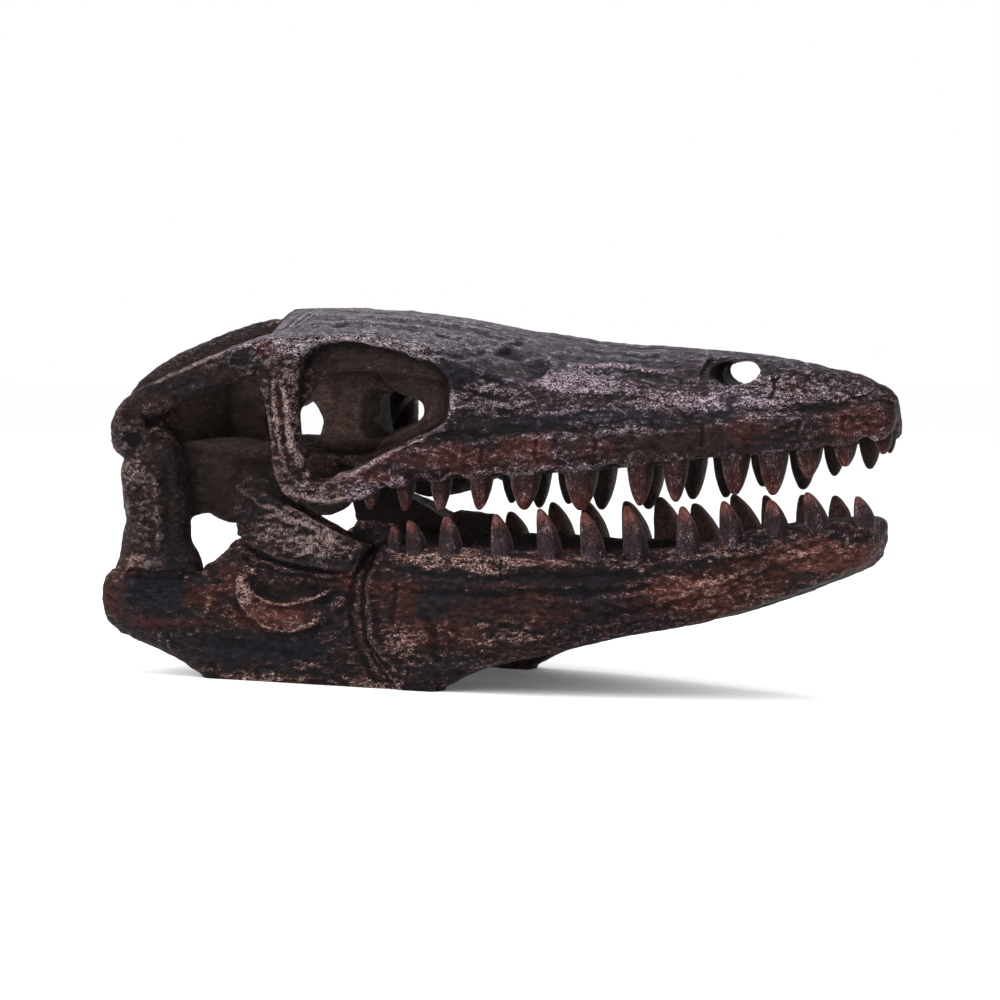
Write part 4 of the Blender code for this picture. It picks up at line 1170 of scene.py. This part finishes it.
# Side view: middle x, z, radii along x and z, how much dry brushing is added (negative keeps it off)
CRANIUM_BRUSHED = [
    (204, 118, 16, 4.6, 0.50), (200, 121, 12, 3, 0.35), (150, 112, 12, 9, 0.22), (180, 120, 20, 7, 0.15),
    (84, 110, 9, 30, 0.24), (104, 78, 24, 6, 0.27), (188, 91, 34, 6, 0.12), (128, 85, 16, 8, 0.12),
    (92, 134, 12, 4, 0.40), (120, 134, 40, 4, 0.40), (142, 134, 7, 6, 0.35), (270, 117, 26, 7, 0.36),
    (240, 113, 18, 4, 0.30), (252, 111, 12, 4, 0.20), (274, 110, 13, 3.5, 0.35), (298, 115, 18, 5, 0.28),
    (14, 82, 8, 8, 0.14), (18, 68, 12, 24, 0.10), (38, 66, 9, 28, -0.5), (36, 118, 32, 7, -0.20),
    (208, 110, 58, 13, 0.28), (20, 47, 10, 3, 0.3), (174, 98.6, 44, 2.4, 0.12),
    (246, 102.4, 40, 2.4, 0.10), (156, 124, 9, 7, -0.35), (182, 104, 26, 3, -0.3),
    (224, 106, 24, 2.4, -0.3), (230, 97, 80, 4, -0.12), (252, 98, 26, 6, -0.22),
    (205, 113.6, 30, 2.0, -0.15), (40, 88, 16, 12, -0.3), (230, 130, 60, 4, 0.1),
]
MANDIBLE_WASHES = [
    (NAVY, 22, 35, 15, 9, 0.9), (RUST, 8, 44, 9, 5, 0.8), (RUST, 82, 27, 20, 7, 0.7),
    (RUST, 4, 32, 7, 10, 0.6), (RUST, 30, 22, 18, 3, 0.6), (RUST, 48, 33, 10, 5, 0.8),
    (ROSE, 60, 40, 6, 7, 0.6), (NAVY, 70, 13, 34, 7, 0.8), (NAVY, 104, 20, 12, 8, 0.6),
    (RUST, 112, 42, 6, 4, 0.8), (ROSE, 80, 26, 16, 6, 0.8), (UMBER, 88, 38, 18, 5, 0.6),
    (UMBER, 118, 30, 3, 24, 0.8), (RUST, 134, 38, 14, 8, 0.6), (RUST, 150, 26, 22, 10, 0.5),
    (NAVY, 150, 34, 8, 7, 0.8), (NAVY, 160, 46, 30, 3.4, 0.7), (INK, 206, 47, 26, 4, 0.8),
    (RUST, 190, 34, 22, 7, 0.45), (NAVY, 218, 40, 18, 6, 0.7), (RUST, 196, 52, 12, 3, 0.6),
    (RUST, 250, 40, 26, 9, 0.7), (COPPER, 250, 43, 18, 5, 0.6), (COPPER, 296, 56, 18, 7, 0.6),
    (RUST, 270, 48, 18, 8, 0.6), (NAVY, 160, 10, 20, 4, 0.7), (UMBER, 92, 60, 26, 10, 0.7),
    (INK, 240, 54, 18, 4, 0.6), (INK, 96, 50, 22, 3, 0.7),
]
MANDIBLE_BRUSHED = [
    (158, 51.5, 26, 4.6, 0.40), (172, 47, 14, 3.4, 0.25), (88, 62, 22, 9, 0.34), (106, 54, 14, 6, 0.3),
    (80, 27, 18, 6, 0.10), (86, 28, 16, 5, -0.12), (68, 38, 4, 8, 0.4), (136, 20, 10, 9, 0.3),
    (176, 26, 30, 7, 0.16), (196, 52, 24, 3.4, 0.2), (250, 43, 24, 7, 0.22), (296, 58, 14, 5, 0.20),
    (262, 56, 30, 4, 0.2), (74, 1.4, 22, 2.2, 0.45), (122, 1.4, 16, 2.2, 0.4), (56, 34, 10, 8, 0.1),
    (24, 32, 20, 12, -0.4), (170, 34, 60, 10, -0.10), (70, 13, 34, 6, -0.3), (104, 48, 22, 3, -0.2),
    (152, 36, 12, 8, -0.2), (208, 46, 24, 4, -0.3),
]


def patches(p, table):
    """What each entry of a table of soft-edged patches brings, and its strength at each vertex."""
    ragged = 0.55 * fractal(p, (9, 5, 4), 3, 41)
    for *brought, x, z, rx, rz, strength in table:
        reach = np.hypot((p[:, 0] - x) / rx, (p[:, 2] - z) / rz)
        yield brought, (1 - smoothstep(0.55, 1.25, reach + ragged)) * strength


def crests(skin, lines):
    """1 along the rims of a table of carved lines, falling off beside them."""
    x, w, z = skin.p.T
    outward = skin.n[:, 1] * np.sign(w) > -0.2
    total = np.zeros(len(x))
    for path, least in ((curve(line[1]), line[4]) for line in lines if line[0] == "rim"):
        xs, zs = zip(*path)
        near = outward & (x > min(xs) - 3) & (x < max(xs) + 3) & (z > min(zs) - 3) & (z < max(zs) + 3)
        index = np.flatnonzero(near & (np.abs(w) > least))
        if len(index):
            distance, _, share = along(path, x[index] + 0.5 * noise(skin.p[index], 5.0, 3), z[index])
            fade = smoothstep(0, 0.1, share) * smoothstep(0, 0.1, 1 - share)
            total[index] = np.maximum(total[index], fade * falloff(distance / 0.9))
    return total


def inside_colour_with_painted_light(p):
    """The brown of the hollows; in the orbit, painted light makes it lighter on the pillar and painted shade
    darker on the far side.
    """
    x, w, z = p.T
    in_orbit = smoothstep(66, 82, x)
    pillar = smoothstep(92, 100, z) * smoothstep(128, 116, z)
    pillar = pillar * smoothstep(26, 16, w) * smoothstep(-4, 2, w)
    painted_shade_far_side = smoothstep(2, -4, w) * smoothstep(-32, -22, w)
    # painted light on the pillar's lit side, painted shade on the orbit's other walls and most on its far
    # side
    light = 1 + (2.1 * pillar - 0.3 - 0.55 * painted_shade_far_side) * in_orbit
    return blended(HOLLOW, ORBIT_PAINTED_LIGHTER, in_orbit) * light[:, None]


# How strongly a surface stands out, from fine to coarse: rounds of smoothing, weight
RELIEFS = ((2, 0.35), (8, 0.4), (30, 0.35))


def painted(skin, washes, brushed, lines, top, out):
    """The coat's colour with painted light and shade inside the orbit, the dry brushing over it and the
    relief at each vertex.

    top is 1 on the skull's roof, out is 1 on the outside and 0 in hollows.
    """
    p = skin.p
    drift = 0.5 + 0.5 * fractal(p, (16, 7, 6), 3, 51)
    colour = blended(np.repeat(INK[None], len(p), 0), UMBER, 0.75 * smoothstep(0.35, 0.7, drift))
    for (wash,), amount in patches(p, washes):
        colour = blended(colour, wash, amount)
    colour = blended(colour, ROOF_COLOUR, 0.85 * top)
    colour = blended(inside_colour_with_painted_light(p), colour, 0.05 + 0.95 * out)
    dry = 0.24 + 0.10 * fractal(p, (12, 6, 5), 2, 61)
    for _, amount in patches(p, brushed):
        dry = dry + amount
    dry = dry + (0.66 - 0.2 * smoothstep(140, 200, p[:, 0]) - dry) * 0.8 * top
    dry = dry + 0.5 * crests(skin, lines)
    dry = 0.12 + (dry - 0.12) * out
    high = 0
    for times, share in RELIEFS:
        relief = skin.relief(times)
        high = high + share * np.clip(relief / (1.6 * np.percentile(np.abs(relief), 75) + 1e-9), -1, 1)
    return np.clip(colour, 0, 1), np.clip(dry, 0, 1), np.clip(high, -1, 1)


def facing_up(skin):
    return smoothstep(0.45, 0.8, skin.n[:, 2])


def cranium_top(skin):
    x, _, z = skin.p.T
    return facing_up(skin) * smoothstep(120, 130, z) * smoothstep(60, 76, x)


def store(mesh, colour, dry, high):
    layer = mesh.attributes.new("paint", "FLOAT_COLOR", "POINT")
    opaque = np.column_stack([colour, np.ones(len(colour))])
    layer.data.foreach_set("color", opaque.astype(np.float32).ravel())
    for name, values in (("dry", dry), ("high", high)):
        layer = mesh.attributes.new(name, "FLOAT", "POINT")
        layer.data.foreach_set("value", np.asarray(values, np.float32))


# ---------------------------------------------------------------- materials


class Nodes:
    """Short ways to add shader nodes."""

    def __init__(self, name):
        self.material = bpy.data.materials.new(name)
        self.material.use_nodes = True
        self.tree = self.material.node_tree
        self.shader = self.tree.nodes["Principled BSDF"]

    def add(self, kind, inputs=(), **settings):
        node = self.tree.nodes.new(kind)
        for key, value in settings.items():
            setattr(node, key, value)
        for key, value in dict(inputs).items():
            self.feed(node.inputs[key], value)
        return node

    def feed(self, socket, value):
        if isinstance(value, bpy.types.NodeSocket):
            self.tree.links.new(value, socket)
        else:
            socket.default_value = value

    def math(self, operation, a, b=0.0, c=0.0):
        node = self.add("ShaderNodeMath", {0: a, 1: b, 2: c}, operation=operation)
        return node.outputs[0]

    def ramp(self, value, low, high, to_low=0.0, to_high=1.0, smooth=True):
        kind = "SMOOTHSTEP" if smooth else "LINEAR"
        inputs = {"Value": value, "From Min": low, "From Max": high, "To Min": to_low, "To Max": to_high}
        return self.add("ShaderNodeMapRange", inputs, interpolation_type=kind).outputs[0]

    def product(self, a, b):
        return self.math("MULTIPLY", a, b)

    def off_middle(self, value):
        """How far a noise, which runs from 0 to 1, is from its middle."""
        return self.math("ABSOLUTE", self.math("SUBTRACT", value, 0.5))

    def vector(self, operation, a, b):
        """A sum or product of vectors, or with SCALE a vector times a number."""
        second = "Scale" if operation == "SCALE" else 1
        return self.add("ShaderNodeVectorMath", {0: a, second: b}, operation=operation).outputs[0]

    def mix(self, factor, a, b):
        """A colour between two; the sockets' numbers are those of the node's colour form."""
        inputs = {0: factor, 6: a, 7: b}
        return self.add("ShaderNodeMix", inputs, data_type="RGBA", blend_type="MIX").outputs[2]

    def noise(self, vector, scale, detail, roughness, distortion=0.0):
        inputs = {"Vector": vector, "Scale": scale, "Detail": detail, "Roughness": roughness}
        inputs["Distortion"] = distortion
        return self.add("ShaderNodeTexNoise", inputs).outputs["Fac"]

    def attribute(self, name, output="Fac"):
        return self.add("ShaderNodeAttribute", attribute_name=name).outputs[output]


def bone_material(
    name,
    pale=(200, 168, 168),
    grain=(0.14, 1, 1),
    brushy=0.5,
    weave=(0.6, 1, 1),
    stipple=1.0,
    cracks=0.6,
    rough=0.52,
):
    """Dark coat, streaked along the bone, with fine pale dry brushing on what stands out and painted shade
    in its hollows.
    """
    k = Nodes(name)
    place = k.add("ShaderNodeTexCoord").outputs["Object"]
    mm = k.vector("SCALE", place, 1000.0)
    stretched = k.vector("MULTIPLY", mm, grain)
    woven = k.vector("MULTIPLY", mm, weave)
    worms = k.noise(woven, stipple, 3.0, 0.62, 0.9)
    strokes = k.noise(stretched, 0.95, 3.0, 0.6, 0.35)
    streak = k.noise(stretched, 0.42, 4.0, 0.62, 0.3)
    blotch = k.noise(mm, 0.13, 3.0, 0.55)
    wear = k.noise(mm, 0.30, 4.0, 0.62, 0.5)
    grit = k.noise(mm, 2.4, 2.0, 0.6)
    paint, dry, high = k.attribute("paint", "Color"), k.attribute("dry"), k.attribute("high")

    # how much pale paint has caught, from 0 to 1
    level = k.math("MULTIPLY_ADD", high, 0.34, dry)
    for value, weight in ((wear, 0.65), (streak, 0.35 + 0.45 * brushy), (grit, 0.8)):
        level = k.math("MULTIPLY_ADD", k.math("SUBTRACT", value, 0.5), weight, level)
    level = k.ramp(level, 0.05, 1.1, 0.0, 1.0, False)
    width = k.math("MULTIPLY_ADD", k.math("POWER", level, 1.5), 0.036, 0.0005)
    nearness = k.off_middle(worms)
    thread = k.ramp(nearness, 0.0, 0.08, 1.0, 0.0)
    speck = k.ramp(k.math("DIVIDE", nearness, width), 0.6, 1.05, 1.0, 0.0)
    nearness = k.math("DIVIDE", k.off_middle(strokes), k.product(width, 0.9))
    stroke = k.ramp(nearness, 0.4, 1.1, brushy, 0.0)
    caught = k.math("MAXIMUM", speck, k.product(stroke, 0.5))

    # a few cracks, bent by noise and drawn out along the bone
    bend = k.add("ShaderNodeTexNoise", {"Vector": mm, "Scale": 0.35, "Detail": 3.0}).outputs["Color"]
    cells = k.vector("ADD", k.vector("ADD", stretched, mm), k.vector("SCALE", bend, 4.0))
    crazing = k.add("ShaderNodeTexVoronoi", {"Vector": cells, "Scale": 0.1}, feature="DISTANCE_TO_EDGE")
    crack = k.ramp(crazing.outputs["Distance"], 0.008, 0.04, cracks, 0.0)
    crack = k.product(crack, k.ramp(blotch, 0.47, 0.56))

    # streaks and blotches of the coat, times painted shade: darker in the relief's hollows and in the
    # valleys between the raised threads
    tone_and_painted_shade = k.math("MULTIPLY_ADD", streak, 1.2, 0.4)
    for factor in (
        k.ramp(worms, 0.34, 0.58, 0.6, 1.1),
        k.math("MULTIPLY_ADD", thread, 0.45, 0.75),
        k.ramp(high, -0.9, 0.5, 0.3, 1.15, False),
        k.ramp(wear, 0.35, 0.65, 0.75, 1.25, False),
    ):
        tone_and_painted_shade = k.product(tone_and_painted_shade, factor)
    tone = k.mix(k.product(stroke, 0.6), k.vector("SCALE", paint, tone_and_painted_shade), opaque(96, 60, 50))
    warmth = k.ramp(k.math("MULTIPLY_ADD", level, 0.9, blotch), 0.72, 1.1)
    brush = k.mix(warmth, opaque(112, 65, 60), opaque(*pale))
    tone = k.mix(k.product(speck, k.ramp(level, 0.1, 0.6, 0.5, 1.0, False)), tone, brush)
    tone = k.mix(k.product(crack, 0.8), tone, opaque(16, 13, 14))
    k.feed(k.shader.inputs["Base Color"], tone)

    gloss = k.math("ADD", caught, k.product(streak, 0.8))
    k.feed(k.shader.inputs["Roughness"], k.ramp(gloss, 0.2, 1.5, rough - 0.08, rough + 0.25, False))
    k.shader.inputs["Specular IOR Level"].default_value = 0.08
    height = k.math("MULTIPLY_ADD", streak, 1.1, k.math("MULTIPLY_ADD", thread, 0.45, worms))
    for value, weight in ((strokes, 0.5 + brushy), (crack, -0.7), (caught, 0.15)):
        height = k.math("MULTIPLY_ADD", value, weight, height)
    surface = k.add("ShaderNodeBump", {"Strength": 0.7, "Distance": 0.0007, "Height": height})
    k.feed(k.shader.inputs["Normal"], surface.outputs[0])
    return k.material


# ---------------------------------------------------------------- teeth

FINE_PROFILE = [
    (0.0, 1.06), (0.12, 1.0), (0.27, 0.95), (0.42, 0.87), (0.56, 0.77), (0.68, 0.66), (0.78, 0.55),
    (0.87, 0.43), (0.94, 0.31), (0.98, 0.20), (1.0, 0.08),
]
TOOTH_ROOT = [(-5.0, 0.85), (-2.0, 0.98)]  # height under the gum, and share of the width there
TOOTH_STEPS = 18
LEAST_UPPER_W, LEAST_LOWER_W = 2.6, 3.2  # of the tooth rows at the snout's tip
LOWER_SINK = 0.8  # how deep a lower tooth sits under the jaw's edge
# Lower teeth lean back more, stand further forward and are wider, all as shares of their width
LOWER_LEAN, LOWER_SHIFT, LOWER_WIDTH = 0.16, 0.02, 1.08


def fine_tooth(base, lean, height, width, seed):
    """One fluted, slightly faceted tooth as an object, and its skin."""
    turns = 2 * np.pi * np.arange(TOOTH_STEPS) / TOOTH_STEPS
    thickness = width * TOOTH_THICKNESS
    rings = []
    for share, size in [*((deep / abs(height), size) for deep, size in TOOTH_ROOT), *FINE_PROFILE]:
        facets = 0.06 * np.cos(4 * turns + 0.4 * np.sin(3 * seed)) + 0.02 * np.cos(7 * turns + 2.3 * seed)
        flutes = 0.98 - facets * (1 - 0.6 * max(0, share))
        reach = 0.5 * size * flutes
        x = base[0] + lean * max(0.0, share) ** 1.6 + width * reach * np.cos(turns)
        w = base[1] + thickness * reach * np.sin(turns)
        rings.append([(*point, base[2] + share * height) for point in zip(x, w)])
    shape = skin_over("tooth", rings)
    modify(shape, "SUBSURF", levels=1, render_levels=1)
    tooth = Skin(shape)
    tooth.push(0.10 * fractal(tooth.p, (1.6, 1.6, 3.6), 2, seed) + 0.10 * noise(tooth.p, 4.0, seed))
    return shape, tooth


def place_tooth(row, side, upper):
    """Where a tooth's base is, how far its tip lies from it along x and z, and its width."""
    x, width, height, back = row
    if upper:
        w = max(LEAST_UPPER_W, read_off(SNOUT, x, 1) - UPPER_ROW_INSET)
        return (x, side * w, read_off(SNOUT, x, 2)), -back, -height, width
    w = max(LEAST_LOWER_W, read_off(DENTARY, x, 1) + LOWER_ROW_OFFSET)
    base = (x + LOWER_SHIFT * width, side * w)
    lean = back + LOWER_LEAN * width
    return (*base, read_off(DENTARY, base[0], 4) - LOWER_SINK), -lean, height, LOWER_WIDTH * width


def tooth_paint(tooth, base, rise, width, side, gum_colour, middle_colour, tip_colour, inner_colour):
    """The colour and the dry brushing of a tooth at each vertex: painted shade on its front, redder to the
    tip.
    """
    share = np.clip((tooth.p[:, 2] - base[2]) / rise, 0, 1)
    front = (tooth.p[:, 0] - base[0]) / (0.5 * width)
    spotty = 0.16 * fractal(tooth.p, (1.2, 1.2, 3.0), 2, 71)
    # the tooth's front is darkened and gets less dry brushing: painted shade
    painted_front_shade = smoothstep(0.35, 0.8, front + spotty)
    inner = smoothstep(0.1, -0.35, side * tooth.n[:, 1] + 0.2 * spotty)
    colour = blended(gum_colour, middle_colour, smoothstep(0.08, 0.5, share + spotty))
    colour = blended(colour, tip_colour, smoothstep(0.55, 0.85, share + spotty))
    colour = blended(colour * (1 - 0.5 * painted_front_shade)[:, None], inner_colour, inner)
    return colour, 0.42 * (0.55 + 0.45 * share) * (1 - 0.6 * painted_front_shade) * (1 - 0.7 * inner)


def teeth(name, table, side, upper, colours):
    """A row of teeth as one piece, each a closed body rooted in its bone."""
    points, faces, looks = [], [], []
    count = 0
    for number, row in enumerate(table):
        base, lean, rise, width = place_tooth(row, side, upper)
        shape, tooth = fine_tooth(base, lean, rise, width, number + 1 + 3 * side)
        colour, brush = tooth_paint(tooth, base, rise, width, side, *colours)
        looks.append((colour, brush, np.clip(tooth.relief(4) / 0.2, -1, 1)))
        points.append(tooth.p.copy())
        faces += [[count + v for v in polygon.vertices] for polygon in shape.data.polygons]
        count += len(tooth.p)
        drop(shape)
    mesh = bpy.data.meshes.new(name)
    places = w_for_y(np.concatenate(points) - (MIDDLE, 0, 0)) * MM
    mesh.from_pydata(places.tolist(), [], faces)
    store(mesh, *(np.concatenate(values) for values in zip(*looks)))
    return placed(name, mesh)


# ---------------------------------------------------------------- pieces


def dress(pieces, skin, look, materials):
    """Gives each bone the paint and the normals of the whole skin, and its place in the frame."""
    colour, dry, high = look
    tree = KDTree(len(skin.p))
    for i, point in enumerate(skin.p.tolist()):
        tree.insert(point, i)
    tree.balance()
    for node, shape in pieces:
        own = Skin(shape)
        nearest = np.array([tree.find(q)[1] for q in own.p.tolist()])
        store(shape.data, colour[nearest], dry[nearest], high[nearest])
        shape.name = "bone_" + node
        shape.data.name = shape.name
        shape.data.materials.clear()
        stem = node.replace("_right", "").replace("_left", "")
        shape.data.materials.append(materials[stem])
        shape.data.shade_smooth()
        shape.data.normals_split_custom_set_from_vertices(w_for_y(skin.n[nearest]).tolist())
        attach(shape, "root")
        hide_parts(node)


ROOF_GRAIN = {"grain": (0.35, 1, 1), "brushy": 0.3}
UPPER = bone_material("painted_upper_jaw", (194, 172, 182), weave=(0.55, 1, 1), **ROOF_GRAIN)
ROOF_COAT = bone_material("painted_roof", (190, 175, 183), rough=0.46, **ROOF_GRAIN)
CHEEK = bone_material(
    "painted_cheek",
    (206, 178, 174),
    grain=(0.6, 1, 1),
    weave=(0.9, 1, 1),
    stipple=1.25,
    brushy=0.15,
    cracks=0.35,
)
INNER = bone_material("painted_inner", grain=(0.5, 1, 1), brushy=0.2, cracks=0.2, rough=0.7)
JAW = bone_material(
    "painted_lower_jaw",
    (202, 164, 154),
    grain=(0.22, 1, 1),
    brushy=0.6,
    weave=(0.35, 1, 1),
    stipple=1.15,
)
TOOTH = bone_material(
    "painted_tooth",
    grain=(1.3, 1.3, 0.25),
    brushy=0.8,
    weave=(1, 1, 0.35),
    stipple=1.2,
    cracks=0.3,
    rough=0.42,
)

COATS = dict.fromkeys(("premaxilla", "maxilla"), UPPER)
COATS |= dict.fromkeys(("frontal", "parietal", "prefrontal"), ROOF_COAT)
COATS |= dict.fromkeys(("jugal", "postorbital", "squamosal", "quadrate", "coronoid"), CHEEK)
COATS |= dict.fromkeys(("pterygoid", "braincase"), INNER)
COATS |= dict.fromkeys(("dentary", "articular", "surangular"), JAW)
SLOTS = {part["node"]: part["material_slot"] for part in frame["record"]["subparts"]}
SLOTS = {node.replace("_right", ""): slot for node, slot in SLOTS.items() if not node.endswith("_left")}
# Colours of a tooth at the gum, half way, at the tip and on the side towards the tongue
UPPER_TOOTH_COLOURS = rgb(30, 21, 19), rgb(42, 21, 19), rgb(62, 26, 24), rgb(38, 27, 24)
LOWER_TOOTH_COLOURS = rgb(33, 27, 32), rgb(38, 28, 29), rgb(100, 56, 52), rgb(76, 56, 50)


def make_cranium():
    head = cranium_half()
    skin = Skin(head)
    x, w, z = skin.p.T
    quadrate = (x < 50) * smoothstep(92, 88, z) * smoothstep(44, 52, z) * smoothstep(36, 42, w)
    behind_orbit = (w < 38) * (x > 20) * (x < 90) * (z > 60) * (z < 128)
    soften(skin, np.maximum(quadrate, behind_orbit), times=24)
    soften(skin, cranium_top(skin), times=60)
    snout_top = facing_up(skin) * smoothstep(104, 112, z) * smoothstep(150, 165, x)
    off_naris = smoothstep(12, 18, np.abs(x - NARIS[0][0]))
    soften(skin, snout_top * smoothstep(304, 294, x) * off_naris, times=30)
    carve_cranium(skin)
    modify(head, "SMOOTH", factor=0.4, iterations=1)
    keep_above(head, JAW_JOINT_HEIGHT)
    make_whole(head)
    skin = Skin(head)
    out = exposed(skin)
    roughen(skin, 0.25 + 0.75 * out * (1 - 0.6 * cranium_top(skin)))
    out = skin.spread(out, times=4)
    look = painted(skin, CRANIUM_WASHES, CRANIUM_BRUSHED, CRANIUM_LINES, cranium_top(skin), out)
    dress(parted(head, CRANIUM_BONES, (1, -1), LAST_CRANIUM_BONE), skin, look, COATS)


def make_mandible():
    right = mandible_half()
    skin = Skin(right)
    x, _, z = skin.p.T
    soften(skin, smoothstep(58, 64, z) * smoothstep(118, 108, x), times=14)
    soften(skin, smoothstep(68, 72, z), times=40)
    carve_mandible(skin)
    modify(right, "SMOOTH", factor=0.4, iterations=1)
    keep_above(right, 0.0)
    joint = rectangle(REAR, JAW_JOINT_HEIGHT, JOINT_FRONT, JOINT_OVER)
    cut(right, prism("joint", joint, JAW_INSIDE, JAW_OUTSIDE))
    cut(right, prism("past_middle", rectangle(REAR, UNDER, FRONT, OVER), -OUTSIDE, 0))
    for side, half in ((1, right), (-1, mirrored_copy(right))):
        skin = Skin(half)
        tip = np.clip(skin.n[:, 0], 0, 1) * smoothstep(294, 306, skin.p[:, 0])
        out = smoothstep(-0.3, 0.3, side * skin.n[:, 1] + 0.25 * skin.n[:, 2] + 0.8 * tip)
        roughen(skin, 0.3 + 0.7 * out)
        roof = np.zeros(len(skin.p))
        out = skin.spread(out, times=4)
        look = painted(skin, MANDIBLE_WASHES, MANDIBLE_BRUSHED, MANDIBLE_LINES, roof, out)
        last_name = LAST_MANDIBLE_BONE + SIDE_WORDS[side]
        dress(parted(half, MANDIBLE_BONES, (side,), last_name), skin, look, COATS)


def make_teeth():
    rows = []
    for side, upper_row, lower_row in (
        (1, UPPER_RIGHT_TEETH, LOWER_RIGHT_TEETH),
        (-1, UPPER_LEFT_TEETH, LOWER_LEFT_TEETH),
    ):
        word = SIDE_WORDS[side]
        rows.append(teeth("teeth_upper" + word, upper_row, side, True, UPPER_TOOTH_COLOURS))
        rows.append(teeth("teeth_lower" + word, lower_row, side, False, LOWER_TOOTH_COLOURS))
    for row in rows:
        row.data.materials.append(TOOTH)
        row.data.shade_smooth()
        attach(row, "root")
        "upper_jaw" if "upper" in row.name else "lower_jaw"


make_cranium()
make_mandible()
make_teeth()

# ---------------------------------------------------------------- floor, light and camera

bpy.ops.mesh.primitive_plane_add(size=60, location=(0, 0, 0))
floor = bpy.context.object
floor.name = "floor"
k = Nodes("pale_floor")
k.shader.inputs["Base Color"].default_value = (0.99, 0.99, 0.99, 1)
k.shader.inputs["Roughness"].default_value = 0.9
floor.data.materials.append(k.material)

world = bpy.data.worlds.new("studio")
bpy.context.scene.world = world
world.use_nodes = True
world.node_tree.nodes["Background"].inputs[0].default_value = (1.0, 1.0, 1.0, 1)
world.node_tree.nodes["Background"].inputs[1].default_value = 1.0


def area_light(name, place, aim, size, power_w, colour=(1, 1, 1)):
    data = bpy.data.lights.new(name, "AREA")
    data.shape = "RECTANGLE"
    data.size, data.size_y = size
    data.energy = power_w
    data.color = colour
    lamp = placed(name, data)
    lamp.location = place
    lamp.rotation_euler = (Vector(aim) - Vector(place)).to_track_quat("-Z", "Y").to_euler()


area_light("top_softbox", (-0.05, -0.15, 1.1), (0, 0, 0.08), (1.2, 0.9), 13, (0.95, 0.97, 1.0))
area_light("key_softbox", (-0.75, -1.1, 0.75), (0, 0, 0.08), (1.0, 1.0), 13)
area_light("fill_softbox", (1.1, -0.7, 0.4), (0, 0, 0.08), (0.7, 0.7), 1)

camera = placed("camera", bpy.data.cameras.new("camera"))
camera.data.lens = 85
camera.data.sensor_width = 36
camera.data.clip_start = 0.01
turned, lowered = math.radians(28), math.radians(2.95)  # from a level view square to the side
level = math.cos(lowered)
look_along = Vector((-math.sin(turned) * level, math.cos(turned) * level, -math.sin(lowered)))
camera.location = (0.43912, -0.8326, 0.12096)
camera.rotation_euler = look_along.to_track_quat("-Z", "Y").to_euler()
bpy.context.scene.camera = camera
bpy.context.scene.view_settings.view_transform = "Standard"
